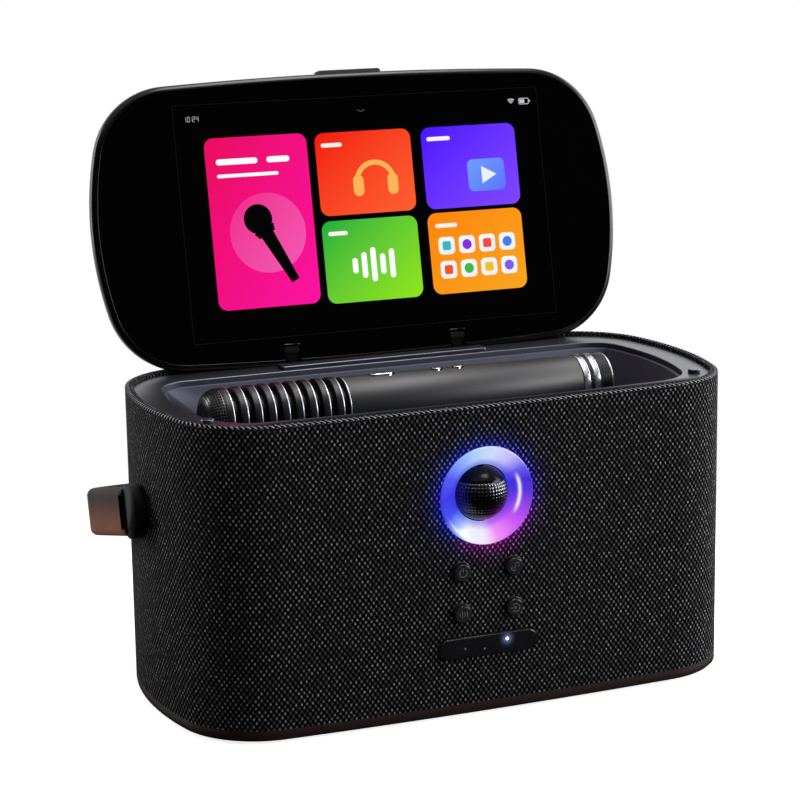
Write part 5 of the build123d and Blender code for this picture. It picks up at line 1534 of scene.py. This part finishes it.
@dataclass
class ScreenPicture:
    """A plain menu picture: five coloured tiles with simple signs, and a status line."""

    lid: Lid
    display: tuple[float, float, float, float] = (3.5, 1.5, 228.0, 136.0)  # middle and size
    corner: float = 5.5
    grip_tilt: float = 28.0
    white: str = "#ffffff"

    def tiles(self) -> None:
        """The five tiles."""
        r = self.corner
        tiles = {
            "tile_pink": Patch(-62.7, 0.6, 62.1, 98.7, r, "#ea0a5c", "#fb119f"),
            "tile_red": Patch(3.3, 25.1, 59.9, 48.3, r, "#f21408", "#ff5e30"),
            "tile_violet": Patch(70.4, 24.7, 60.8, 48.4, r, "#4a10ff", "#7f45ff"),
            "tile_green": Patch(2.7, -26.1, 59.9, 48.0, r, "#0fae3c", "#8ee61b"),
            "tile_orange": Patch(69.8, -25.9, 60.9, 48.1, r, "#ff8408", "#f8a51e"),
        }
        for name, spot in tiles.items():
            self.lid.patch(name, spot)

    def microphone_sign(self) -> None:
        """A hand microphone on a pale disc: a ball, a collar and a tapered grip, all tilted."""
        self.lid.patch("tile_pink_disc", Patch(-60, -6, 46, 46, 22.9, "#f0288a", "#f25ab4", 2))
        tilt = math.radians(self.grip_tilt)
        spin = np.array([[math.cos(tilt), math.sin(tilt)], [-math.sin(tilt), math.cos(tilt)]])
        grip = np.array([[-4.2, 2.0], [-2.6, -30.0], [2.6, -30.0], [4.2, 2.0]]) @ spin
        collar = np.array([[-6.8, 5.2], [-5.4, 1.2], [5.4, 1.2], [6.8, 5.2]]) @ spin
        at = np.array([-60.0, -8.0])
        top = at + np.array([0.0, 11.6]) @ spin
        shapes = [disc(*top, 8.6), collar + at, grip + at]
        self.lid.signs("sign_microphone", shapes, "#020102", 3)

    def tile_signs(self) -> None:
        """Signs on the tiles: a microphone, headphones, a play mark, level bars and titles."""
        lid = self.lid
        self.microphone_sign()
        lines = [bar(-75, 36, 25, 3.4), bar(-50, 36, 14, 3.4), bar(-69, 28, 37, 2.0)]
        lid.signs("sign_pink_bars", lines, self.white, 3)
        cups = [bar(x, 17.5, 6.6, 12.5, 3.2) for x in (-1.8, 19.8)]
        band = ribbon(arc_line(9, 19, 11.6, -4, 184), 3.0)
        lid.signs("sign_headphones", [band, *cups], "#ffb457", 3)
        lid.patch("tile_violet_card", Patch(80, 19, 24, 19, 3.5, "#6f9dff", "#5a74ff", 2))
        lid.signs("sign_play", [np.array([[77.0, 13.8], [86.5, 19.0], [77.0, 24.2]])], "#e9f0ff", 3)
        heights = (9.0, 15.0, 20.0, 12.0, 17.0)
        levels = [bar(-8.5 + 5.8 * k, -29.0, 3.4, h, 1.6) for k, h in enumerate(heights)]
        lid.signs("sign_levels", levels, self.white, 3)
        titles = [bar(-16.5, 42, 13, 2.4), bar(51, 42, 15, 2.4), bar(-17.5, -9.5, 12, 2.4)]
        lid.signs("sign_titles", [*titles, bar(51, -9.5, 14, 2.4)], "#fff3ee", 3)

    def squares(self) -> None:
        """Two rows of four small squares, each with a plain mark."""
        lid = self.lid
        upper = ("#36b6c9", "#8a2be2", "#ef4b3f", "#3f7ff0")
        lower = ("#f2552c", "#41b64c", "#f0c020", "#7a5af8")
        for k, code in enumerate(upper + lower):
            x, y = 50.2 + 13.1 * (k % 4), -21.5 - 14.2 * (k // 4)
            square = Patch(x, y, 10.4, 10.4, 2.6, self.white, "#f4f4f6", 2)
            lid.patch(f"square_{k}", square, 0.95)
            mark = disc(x, y, 3.0) if k % 2 else bar(x, y, 5.4, 5.4, 1.2)
            lid.signs(f"square_mark_{k}", [mark], code, 3)

    def status(self) -> None:
        """The status line: a clock's digits, a wireless fan, a battery and a pull mark."""
        high = 61.4
        clock = [*digits("1024", -103.4, high, 1.2, 2.9), disc(-99.15, 62.2, 0.2)]
        clock.append(disc(-99.15, 60.8, 0.2))
        fan = [ribbon(arc_line(100.3, 59.8, r, 50, 130), 0.55) for r in (1.2, 2.2, 3.2)]
        rim = rounded_box(6.4, 3.4, 0.7, 3).points() + np.array([108.7, high])
        battery = [ribbon(rim, 0.4), bar(107.6, high, 3.2, 2.2, 0.3), bar(112.5, high, 0.6, 1.3)]
        pull = [ribbon(np.array([[1.6, 61.6], [3.9, 60.6], [6.2, 61.6]]), 0.5)]
        self.lid.signs("sign_status", [*clock, *fan, *battery], "#c8c8cc", 2)
        self.lid.signs("sign_pull", pull, "#4a4a4e", 2)

    def border(self) -> None:
        """The faint line where the display's edge shows through the glass."""
        x, y, width, height = self.display
        rim = rounded_box(width, height, 0.4, 2).points() + np.array([x, y])
        self.lid.signs("display_edge", [ribbon(rim, 0.35)], "#121214", 1)

    def build(self) -> None:
        """Makes the picture."""
        self.border()
        self.tiles()
        self.tile_signs()
        self.squares()
        self.status()


@dataclass
class MirrorBall:
    """The mirror ball: pillowed tiles between two latitudes, and smooth caps beyond."""

    radius: float = 15.2
    columns: int = 48
    rows: int = 9
    band: tuple[float, float] = (-37.0, 30.0)  # latitudes of the tiles' lower and upper edge
    groove: float = 0.2
    pillow: float = 0.24
    tile_share: float = 0.86  # share of its cell that a tile fills
    tilt: float = 0.05  # how far a tile's edges stand out of true
    core_gap: float = 0.08
    cap_gap: float = 0.03
    stations: tuple[float, ...] = (-1.0, -1.0, -0.5, 0.0, 0.5, 1.0, 1.0)  # across a tile

    @property
    def place(self) -> Place:
        """A level frame at the ball's middle, on its spindle's axis."""
        x, y, _ = middle("mirror_ball")
        return Place((x, y, middle("ball_spindle")[2]))

    def tile_points(self) -> np.ndarray:
        """Points of all tiles, as a (tiles, side, side, 3) array.

        A tile's points lie at latitude a + s * half and longitude o + t * half, with s and t from
        -1 to 1, at radius r - pillow + pillow * (1 - s^2) * (1 - t^2) + lean * s + lean * t; its
        outermost row is sunk into the groove. A point is r * (cos a cos o, cos a sin o, sin a).
        """
        low, high = np.radians(self.band)
        lat, cell_a = np.linspace(low, high, self.rows + 1, retstep=True)
        lon, cell_o = np.linspace(0, 2 * np.pi, self.columns + 1, retstep=True)
        middles = np.meshgrid((lat[1:] + lat[:-1]) / 2, (lon[1:] + lon[:-1]) / 2, indexing="ij")
        mid_a, mid_o = (m.reshape(-1, 1, 1) for m in middles)
        s, t = np.meshgrid(self.stations, self.stations, indexing="ij")
        sunk = np.ones(s.shape, bool)
        sunk[1:-1, 1:-1] = False
        radius = self.radius - self.pillow + self.pillow * (1 - s**2) * (1 - t**2)
        radius = np.where(sunk, self.radius - 2 * self.groove, radius)
        lean = np.random.default_rng(4).uniform(-self.tilt, self.tilt, (2, len(mid_a), 1, 1))
        radius = (radius + lean[0] * s + lean[1] * t)[..., None]
        a = mid_a + s * cell_a * self.tile_share / 2
        o = mid_o + t * cell_o * self.tile_share / 2
        return radius * np.stack([np.cos(a) * np.cos(o), np.cos(a) * np.sin(o), np.sin(a)], -1)

    def build(self) -> None:
        """Makes the tiles, and the core that shows between them and as smooth caps."""
        points = self.tile_points()
        side = len(self.stations)
        first = np.arange(len(points)).reshape(-1, 1, 1) * side**2
        faces = (first + quads(side, side)).reshape(-1, 4)
        mesh = bpy.data.meshes.new("ball_tiles")
        mesh.from_pydata(self.place.world(points.reshape(-1, 3)), [], faces.tolist())
        finish_mesh(mesh, 40)
        tiles = linked("ball_tiles", mesh)
        settle(tiles, Body.BALL, TILES, ("mirror_ball",))
        low, high = np.radians(self.band)
        angle = np.linspace(-np.pi / 2, np.pi / 2, 49)
        under_tiles = self.radius - self.groove - self.core_gap
        between = (angle > low) & (angle < high)
        radius = np.where(between, under_tiles, self.radius - self.cap_gap)
        profile = list(zip(radius * np.cos(angle), radius * np.sin(angle)))
        globe = grid_piece("ball_core", turned(profile), self.place, sharp=60)
        settle(globe, Body.BALL, BALL_CAP)


@dataclass
class FrontPanel:
    """The lit ring, the mirror ball, the buttons and the indicator window."""

    ring_radius: float = 26.7
    ring_lip: float = 0.9
    ring_throat: float = 16.7
    throat_lip: float = 15.65
    lip_from_back: float = 4.5
    flare_bend: tuple[float, float] = (1.8, 6.6)  # outside the throat, and over the ring's back
    button_radius: float = 4.7
    button_round: float = 0.7
    button_dish: float = 0.12
    stem: tuple[float, float] = (2.0, 1.6)  # radius and length
    rim_bead: float = 0.6
    sign_height: tuple[float, float] = (-0.1, 0.12)  # below and above the button's face
    window_round: float = 1.0
    # colour of the painted glow of the two unlit dots
    painted_glow_grey: str = "#8a8a90"
    dot_lit: str = "#f4f7ff"

    def ring(self) -> None:
        """The opal funnel: a soft outer lip, a flare running in, and a short throat.

        The flare is a quadratic curve: (1 - t)^2 start + 2 t (1 - t) bend + t^2 end.
        """
        low, high = span("light_ring")
        front, back, lip = -low[1], -high[1], self.ring_lip
        outer, throat, narrow = self.ring_radius, self.ring_throat, self.throat_lip
        profile = [(outer, front - 5), (outer, front - lip)]
        profile += fillet_run((outer - lip, front - lip), lip, 0, 100, 6)
        start = np.array([outer - 1.5, front - 0.35])
        end = np.array([narrow, back + self.lip_from_back])
        bend = np.array([throat, back]) + self.flare_bend
        t = np.linspace(0, 1, 14)[1:, None]
        flare = (1 - t) ** 2 * start + 2 * t * (1 - t) * bend + t**2 * end
        profile += [tuple(point) for point in flare]
        profile += [(narrow, end[1] - 0.2), (throat, end[1] - 0.25)]
        profile += [(throat, back), (outer, front - 5)]
        spot = middle("light_ring")
        place = facing_front(spot[0], spot[2])
        piece = grid_piece("opal_ring", turned(profile, 128), place, sharp=50)
        settle(piece, Body.CABINET, OPAL, ("light_ring",))

    def buttons(self) -> None:
        """The button caps: short turned cylinders with a round edge, a bright rim and a stem."""
        r, soft, bead = self.button_radius, self.button_round, self.rim_bead
        stem, length = self.stem
        for name in BUTTONS:
            low, high = span(name)
            front, back = -low[1], -high[1]
            spot = middle(name)
            place = facing_front(spot[0], spot[2])
            profile = [(0.0, back), (stem, back), (stem, back + length), (r, back + length)]
            profile += fillet_run((r - soft, front - soft), soft, 0, 90, 8)
            profile += [(r - 2.0, front), (0.0, front - self.button_dish)]
            cap = grid_piece(f"{name}_cap", turned(profile, 72), place)
            settle(cap, name, BUTTON_ABS, (name,))
            depth, inside = front - soft, r - 2 * bead
            rim = [(inside, depth - bead), *fillet_run((r - bead, depth), bead, -60, 80, 8)]
            rim.append((inside, depth - bead))
            hoop = grid_piece(f"{name}_rim", turned(rim, 72), place)
            settle(hoop, name, DARK_CHROME)

    def button_signs(self) -> None:
        """Raised signs on the four buttons, of thin moulded strokes."""
        levels = (1.6, 3.6, 2.4, 3.0)
        strokes = {
            "power_button": [
                ribbon(arc_line(0, 0, 2.1, 120, 420), 0.5),
                bar(0, 1.6, 0.5, 2.2, 0.2),
            ],
            "pairing_button": [
                ribbon(arc_line(-0.9, -0.9, 1.3, 120, 330), 0.45),
                ribbon(arc_line(0.9, 0.9, 1.3, -60, 150), 0.45),
                ribbon(np.array([[-1.0, -1.0], [0.0, 0.0], [1.0, 1.0]]), 0.4),
            ],
            "bass_button": [bar(-2.1 + 1.4 * k, 0, 0.5, h, 0.2) for k, h in enumerate(levels)],
            "source_button": [
                ribbon(arc_line(0.3, 0, 2.2, -140, 140), 0.5),
                bar(-1.2, 0, 3.2, 0.45, 0.2),
                ribbon(np.array([[-0.4, 0.9], [0.6, 0.0], [-0.4, -0.9]]), 0.45),
            ],
        }
        for name, shapes in strokes.items():
            spot = middle(name)
            place = facing_front(spot[0], spot[2], span(name)[0][1])
            sign = plates(f"{name}_sign", shapes, place, *self.sign_height)
            settle(sign, name, SIGN_INK)

    def window_pane(self) -> None:
        """The indicator window: a bar with round ends and a round front edge."""
        low, high = span("indicator_window")
        wide, tall = high[0] - low[0], high[2] - low[2]
        front, back, soft = -low[1], -high[1], self.window_round
        profile = [(3.0, back), (0.0, back)]
        profile += fillet_run((soft, front - soft), soft, 180, 90, 6)
        profile += [(3.0, front)]
        grid = swept(rounded_box(wide, tall, tall / 2 - 0.01), profile)
        spot = middle("indicator_window")
        place = facing_front(spot[0], spot[2])
        pane = grid_piece("indicator_pane", grid, place, (True, True))
        settle(pane, Body.CABINET, WINDOW, ("indicator_window",))

    def window_dots(self) -> None:
        """Three dots in the window: two pale, unlit ones whose glow is painted light, and one lit;
        each a low turned dome.
        """
        height = middle("indicator_window")[2]
        face = span("indicator_window")[0][1]
        dots = {  # name: place across and over the window's middle, radius, colour, strength
            # the two pale dots are unlit; their glow at 0.5 is painted light
            "dot_left": (-14.0, -0.4, 0.55, self.painted_glow_grey, 0.5),
            "dot_middle": (-2.6, -1.7, 0.55, self.painted_glow_grey, 0.5),
            "dot_lit": (10.7, 2.1, 0.85, self.dot_lit, 4.0),
        }
        for name, (x, z, radius, code, power) in dots.items():
            place = facing_front(x, height + z, face)
            profile = [(radius, -0.1), (radius, 0.02), (radius * 0.7, 0.1), (0.0, 0.14)]
            piece = grid_piece(name, turned(profile, 32), place)
            glow = Glow(f"glow_{name}", code, 0.2, second=code, strength=power)
            settle(piece, Body.CABINET, glow)

    def build(self) -> None:
        """Makes the front panel's pieces."""
        self.ring()
        MirrorBall().build()
        self.button_signs()
        self.window_pane()
        self.window_dots()
        self.buttons()
        carried("control_frame", Body.CABINET, BLACK_ABS)
        carried("ring_housing", Body.CABINET, BLACK_ABS)
        paint(STEEL, "ball_spindle", "button_switches")
        paint(BLACK_ABS, "ball_yoke")
        paint(LAMINATE, "ring_board", "control_board")


@dataclass
class Microphone:
    """The microphone that lies in the well, turned about its own axis."""

    head_end: float = -123.5
    grille_start: float = -113.5
    barrel_start: float = -41.5
    barrel_end: float = 103.5
    tail_end: float = 122.6
    nose_radius: float = 7.0
    head_radius: float = 17.5
    front_radius: float = 17.0
    tail_radius: float = 16.3
    tail_round: float = 1.4
    fin_pitch: float = 8.0
    fin_width: float = 4.4
    fin_root: float = 13.4
    fin_round: float = 0.5
    cut_width: float = 0.5
    key_gap: float = 0.25
    key_well: float = 1.2  # how far a key's well reaches under the key
    trim: tuple[tuple[float, float], ...] = ((103.8, 107.8), (110.4, 114.2))
    trim_proud: float = 0.3
    trim_round: float = 0.4
    trim_seat: float = 1.2  # how far the bright rings are let into the tail

    @property
    def place(self) -> Place:
        """Local x to the back, local y up and the normal along the microphone."""
        spot = middle("mic_grille")
        return Place((0, spot[1], spot[2]), (0, 1, 0), (0, 0, 1))

    def turn(self, name: str, profile: Profile, finish: Finish, node: str) -> None:
        """Turns a profile of (radius, place along) pairs into an enamelled piece."""
        piece = grid_piece(name, turned(profile, 128), self.place, sharp=34)
        settle(piece, Body.MICROPHONE, finish, (node,))

    def grille(self) -> None:
        """Nine round fins on a slimmer core, each with rounded crests."""
        root, crest = self.fin_root, self.fin_round
        top = self.head_radius - crest
        count = int((self.barrel_start - self.grille_start) / self.fin_pitch)
        starts = [self.grille_start + fin * self.fin_pitch for fin in range(count)]
        ends = [start + self.fin_width for start in starts]
        profile = [(0.0, self.grille_start), (root, self.grille_start)]
        for start, end in zip(starts, ends):
            profile.append((root, start))
            profile += fillet_run((top, start + crest), crest, -90, 0, 4)
            profile += fillet_run((top, end - crest), crest, 0, 90, 4)
            profile.append((root, end))
        profile += [(root, self.barrel_start), (0.0, self.barrel_start)]
        self.turn("mic_fins", profile, ENAMEL, "mic_grille")
        edges = [self.cut_edge(self.head_radius, end, 1) for end in ends]
        edges.append(self.cut_edge(self.front_radius, self.barrel_start, -1))
        edges.append(self.cut_edge(self.tail_radius, self.tail_end, 1))
        piece = joined("mic_cut_edges", edges)
        settle(piece, Body.MICROPHONE, CUT_EDGE)

    def cut_edge(self, radius: float, at: float, side: int) -> Piece:
        """A bright bead round the tube: side is 1 at a tail-side edge, -1 at a head-side one.

        Args:
            radius: of the tube.
            at: the edge's place along it.
            side: which way the edge faces.

        Returns:
            The bead.
        """
        bead, out, past = self.cut_width, 0.04, 0.03
        inner = (radius - 2 * bead, -bead)
        arc = fillet_run((radius + out - bead, past - bead), bead, -60, 100, 8)
        ring = [(x, at + side * z) for x, z in [inner, *arc, inner]][::side]
        return grid_piece("edge", turned(ring, 128), self.place)

    def dome(self) -> None:
        """The domed end: a quarter ellipse with a flat nose."""
        depth = self.grille_start - self.head_end
        angle = np.radians(np.linspace(0, 90, 20))
        swell = self.head_radius - self.nose_radius
        radius = self.nose_radius + swell * np.sin(angle) ** 0.9
        along = self.grille_start - depth * np.cos(angle)
        profile = [(0.0, self.head_end), *zip(radius, along), (0.0, self.grille_start)]
        self.turn("mic_nose", profile, NOSE, "mic_dome")

    def barrel(self) -> None:
        """The tapered barrel, with a well for each key."""
        start, end = self.barrel_start, self.barrel_end
        front, tail = self.front_radius, self.tail_radius
        profile = [(0.0, start), (front - 0.6, start), (front - 0.15, start + 0.2)]
        profile += [(front, start + 0.7), (tail, end - 0.3), (tail - 0.2, end), (0.0, end)]
        tube = grid_piece("mic_tube", turned(profile, 128), self.place, sharp=34)
        wells = []
        for key in MIC_KEYS:
            low, high = span(key)
            wide, deep = high[:2] - low[:2] + 2 * self.key_gap
            outline = rounded_box(wide, deep, min(wide, deep) / 2 - 0.01, 5)
            floor = low[2] - self.key_well
            place = Place((*((low + high)[:2] / 2), floor))
            wells.append(cutter(outline, 0, high[2] + 3 - floor, place))
        cut(tube, wells, 34)
        settle(tube, Body.MICROPHONE, TUBE, ("mic_barrel",))

    def tail(self) -> None:
        """The tail cap, turned down under its two bright rings."""
        start, end = self.barrel_end, self.tail_end
        r, sleeve, soft = self.tail_radius, self.tail_radius - self.trim_seat, self.tail_round
        (_, first_end), (second_start, second_end) = self.trim
        profile = [(0.0, start), (sleeve, start), (sleeve, first_end), (r, first_end + 0.05)]
        profile += [(r, second_start - 0.05), (sleeve, second_start)]
        profile += [(sleeve, second_end), (r, second_end + 0.1)]
        profile += fillet_run((r - soft, end - soft), soft, 0, 90, 6)
        profile += [(0.0, end)]
        self.turn("mic_tail_cap", profile, ENAMEL, "mic_tail")
        inner, soft = sleeve + 0.05, self.trim_round
        out = r + self.trim_proud - soft
        rings = []
        for start, end in self.trim:
            ring = [(inner, start), (out, start)]
            ring += fillet_run((out, start + soft), soft, -90, 0, 4)
            ring += fillet_run((out, end - soft), soft, 0, 90, 4)
            ring += [(inner, end), (inner, start)]
            rings.append(grid_piece("ring", turned(ring, 128), self.place))
        piece = joined("mic_bright_rings", rings)
        settle(piece, Body.MICROPHONE, CHROME, ("mic_trim_rings",))

    def build(self) -> None:
        """Makes the microphone's pieces."""
        self.grille()
        self.dome()
        self.barrel()
        self.tail()
        for key in MIC_KEYS:
            carried(key, key, CHROME)
        paint(SILICONE, "mic_foam")
        paint(ALUMINIUM, "mic_capsule")
        paint(LAMINATE, "mic_board")
        paint(CELL_FILM, "mic_battery")


@dataclass
class Handle:
    """The leather strap and its two black hubs."""

    pivot_z: float = 112.0
    droop: float = 14.0
    inside: float = 165.8
    thickness: float = 9.0
    width: float = 27.0
    reach: float = 123.5
    bend: float = 49.0
    edge: float = 4.2
    hub_gap: float = 14.9

    def path(self) -> np.ndarray:
        """The strap's middle line: a U of arm, bend, crossbar, bend and arm.

        Returns:
            Rows of x, distance from the pivots, and the line's outward normal.
        """
        radius = self.bend - self.thickness / 2
        arm_x, top = self.inside + self.thickness / 2, self.reach - self.thickness / 2
        cx, cy = arm_x - radius, top - radius
        rise = np.linspace(0, cy, 16)
        arm = np.column_stack([np.full(16, arm_x), rise, np.ones(16), np.zeros(16)])
        angle = np.radians(np.linspace(0, 90, 25))[1:]
        ray = np.column_stack([np.cos(angle), np.sin(angle)])
        arc = np.column_stack([np.array([cx, cy]) + radius * ray, ray])
        bar_x = np.linspace(cx, 0, 12)[1:]
        crossbar = np.column_stack([bar_x, np.full(11, top), np.zeros(11), np.ones(11)])
        half = np.concatenate([arm, arc, crossbar])
        return np.concatenate([half, half[-2::-1] * np.array([-1, 1, -1, 1])])

    def strap(self) -> None:
        """The strap: a rounded oblong section carried along the path.

        A point lies at path + depth * normal, and across by the section's width. The ends are
        drawn to a circle round the pivot by sqrt(gap^2 - across^2).
        """
        path = self.path()
        section = rounded_box(self.thickness, self.width, self.edge, 8).points()
        depth, across = section[:, 0], section[:, 1]
        x = path[:, 0, None] + depth * path[:, 2, None]
        along = path[:, 1, None] + depth * path[:, 3, None]
        along[[0, -1]] = np.sqrt(self.hub_gap**2 - across**2)
        grid = np.stack([x, along, np.broadcast_to(across, x.shape)], -1)[::-1]
        tilt = math.radians(self.droop)
        place = Place((0, 0, self.pivot_z), (1, 0, 0), (0, math.cos(tilt), -math.sin(tilt)))
        piece = grid_piece("leather_strap", grid, place, (True, True), sharp=45)
        settle(piece, Body.HANDLE, BROWN_LEATHER, ("handle_strap",))

    def build(self) -> None:
        """Makes the handle's pieces."""
        self.strap()
        for side in ("left", "right"):
            carried(f"handle_hub_{side}", Body.HANDLE, HUB_ABS)


# ---------------------------------------------------------------- studio


@dataclass(frozen=True)
class Lamp:
    """A rectangular soft light: its place, aim and size in metres, and its power in watts."""

    name: str
    spot: tuple[float, float, float]
    aim: tuple[float, float, float]
    size: tuple[float, float]
    power: float

    def build(self) -> None:
        """Places the lamp and turns its -Z axis to its aim."""
        data = bpy.data.lights.new(self.name, "AREA")
        data.shape, data.energy = "RECTANGLE", self.power
        data.size, data.size_y = self.size
        lamp = bpy.data.objects.new(self.name, data)
        lamp.location = self.spot
        lamp.rotation_mode = "QUATERNION"
        way = Vector(self.aim) - Vector(self.spot)
        lamp.rotation_quaternion = way.to_track_quat("-Z", "Y")
        bpy.context.scene.collection.objects.link(lamp)


@dataclass
class Studio:
    """Camera, floor, lamps and the white surroundings."""

    azimuth: float = 21.97
    elevation: float = 12.56
    roll: float = -0.89
    distance: float = 1341.3
    target: tuple[float, float, float] = (-14.26, 0.0, 158.11)
    focal_px: float = 2402.9
    frame_px: float = 800.0
    sensor: float = 36.0
    clip: tuple[float, float] = (0.05, 50.0)
    floor_half: float = 3000.0
    floor_lift: float = 0.84  # the floor's own light, which keeps its shadow soft
    floor_fade: tuple[float, float] = (0.26, 0.46)  # radii between which it turns plain white
    lamps: tuple[Lamp, ...] = (
        Lamp("front_right", (1.3, -0.75, 0.6), (0, 0, 0.12), (0.8, 0.6), 15.0),
        Lamp("left", (-1.0, 0.8, 0.5), (0, 0, 0.15), (0.3, 0.9), 7.0),
        Lamp("right", (1.15, 0.15, 0.55), (0, 0, 0.12), (1.0, 0.9), 13.0),
        Lamp("top", (0.3, -0.05, 1.3), (0, 0, 0.12), (0.9, 0.4), 11.0),
    )

    def camera(self) -> None:
        """A camera at the viewing angle: it stands on a ray from the target and looks back."""
        a, e, turn = (math.radians(v) for v in (self.azimuth, self.elevation, self.roll))
        back = Vector((-math.sin(a) * math.cos(e), -math.cos(a) * math.cos(e), math.sin(e)))
        right = (-back).cross(Vector((0, 0, 1))).normalized()
        up = right.cross(-back)
        side = right * math.cos(turn) + up * math.sin(turn)
        top = -right * math.sin(turn) + up * math.cos(turn)
        data = bpy.data.cameras.new("camera")
        data.sensor_width = self.sensor
        data.lens = self.focal_px / self.frame_px * self.sensor
        data.clip_start, data.clip_end = self.clip
        camera = bpy.data.objects.new("camera", data)
        place = Matrix((side, top, back)).transposed().to_4x4()
        place.translation = (Vector(self.target) + back * self.distance) * MM
        camera.matrix_world = place
        bpy.context.scene.collection.objects.link(camera)
        bpy.context.scene.camera = camera

    def floor(self) -> None:
        """A pale floor: it keeps the soft shadow, and blends to plain white away from the object.

        For mirrored rays it is dim in front of the object, as over a black cloth, and pale behind.
        """
        side = np.array([-self.floor_half, self.floor_half])
        floor = grid_piece("floor", np.stack([*np.meshgrid(side, side), np.zeros((2, 2))], -1))
        material = bpy.data.materials.new("white_paper")
        material.use_nodes = True
        tree = material.node_tree
        tree.nodes.clear()
        spot = add_node(tree, "TexCoord", out="Object")
        far = add_node(tree, "VectorMath LENGTH", spot, out="Value")
        blend = add_node(tree, "MapRange", far, *self.floor_fade, **SMOOTH)
        paper = add_node(tree, "BsdfDiffuse", "#e4e4e4")
        glow = add_node(tree, "Emission", {"Strength": self.floor_lift})
        near = add_node(tree, "AddShader", paper, glow)
        plain = add_node(tree, "Emission", {"Strength": 1.0})
        seen = add_node(tree, "MixShader", blend, near, plain)
        depth = add_node(tree, "SeparateXYZ", spot, out=1)
        behind = add_node(tree, "MapRange", depth, 0.0, 0.4, **SMOOTH)
        pale = add_node(tree, "Math MULTIPLY_ADD", behind, 0.75, 0.01)
        mirrored = add_node(tree, "Emission", {"Strength": pale})
        ray = add_node(tree, "LightPath").node.outputs
        bounce = add_node(tree, "BsdfDiffuse", "#d0d0d0")
        other = add_node(tree, "MixShader", ray["Is Glossy Ray"], bounce, mirrored)
        both = add_node(tree, "MixShader", ray["Is Camera Ray"], other, seen)
        add_node(tree, "OutputMaterial", both)
        floor.data.materials.append(material)

    def world(self) -> None:
        """White to the camera; for reflections white behind and above, and dim in front."""
        world = bpy.data.worlds.new("studio")
        world.use_nodes = True
        tree = world.node_tree
        tree.nodes.clear()
        ray = add_node(tree, "LightPath").node.outputs
        way = add_node(tree, "TexCoord", out="Generated")
        axes = add_node(tree, "SeparateXYZ", way).node.outputs
        behind = add_node(tree, "MapRange", axes[1], 0.1, 0.75, **SMOOTH)
        above = add_node(tree, "MapRange", axes[2], 0.45, 0.95, **SMOOTH)
        above = add_node(tree, "Math MULTIPLY", above, 0.8)
        gloss = add_node(tree, "Math MAXIMUM", behind, above)
        gloss = add_node(tree, "Math MULTIPLY_ADD", gloss, 0.95, 0.02)
        gloss = add_node(tree, "Math MULTIPLY", gloss, ray["Is Glossy Ray"])
        seen = (ray["Is Camera Ray"], ray["Is Transmission Ray"])
        plain = add_node(tree, "Math MAXIMUM", *seen)
        soft = add_node(tree, "Math MULTIPLY", ray["Is Diffuse Ray"], 0.1)
        level = add_node(tree, "Math MAXIMUM", add_node(tree, "Math MAXIMUM", plain, soft), gloss)
        sky = add_node(tree, "Background", "#ffffff", level)
        add_node(tree, "OutputWorld", sky)
        bpy.context.scene.world = world

    def build(self) -> None:
        """Sets the studio up."""
        self.camera()
        self.floor()
        self.world()
        for lamp in self.lamps:
            lamp.build()
        bpy.context.scene.view_settings.view_transform = "Standard"


def main() -> None:
    """Builds the object's sub-assemblies in order, then the studio."""
    logging.basicConfig(level=logging.INFO, format="%(message)s")
    cabinet = Cabinet()
    cabinet.build()
    Lid().build(cabinet.plan)
    FrontPanel().build()
    Microphone().build()
    Handle().build()
    Studio().build()


if __name__ == "__main__":
    main()
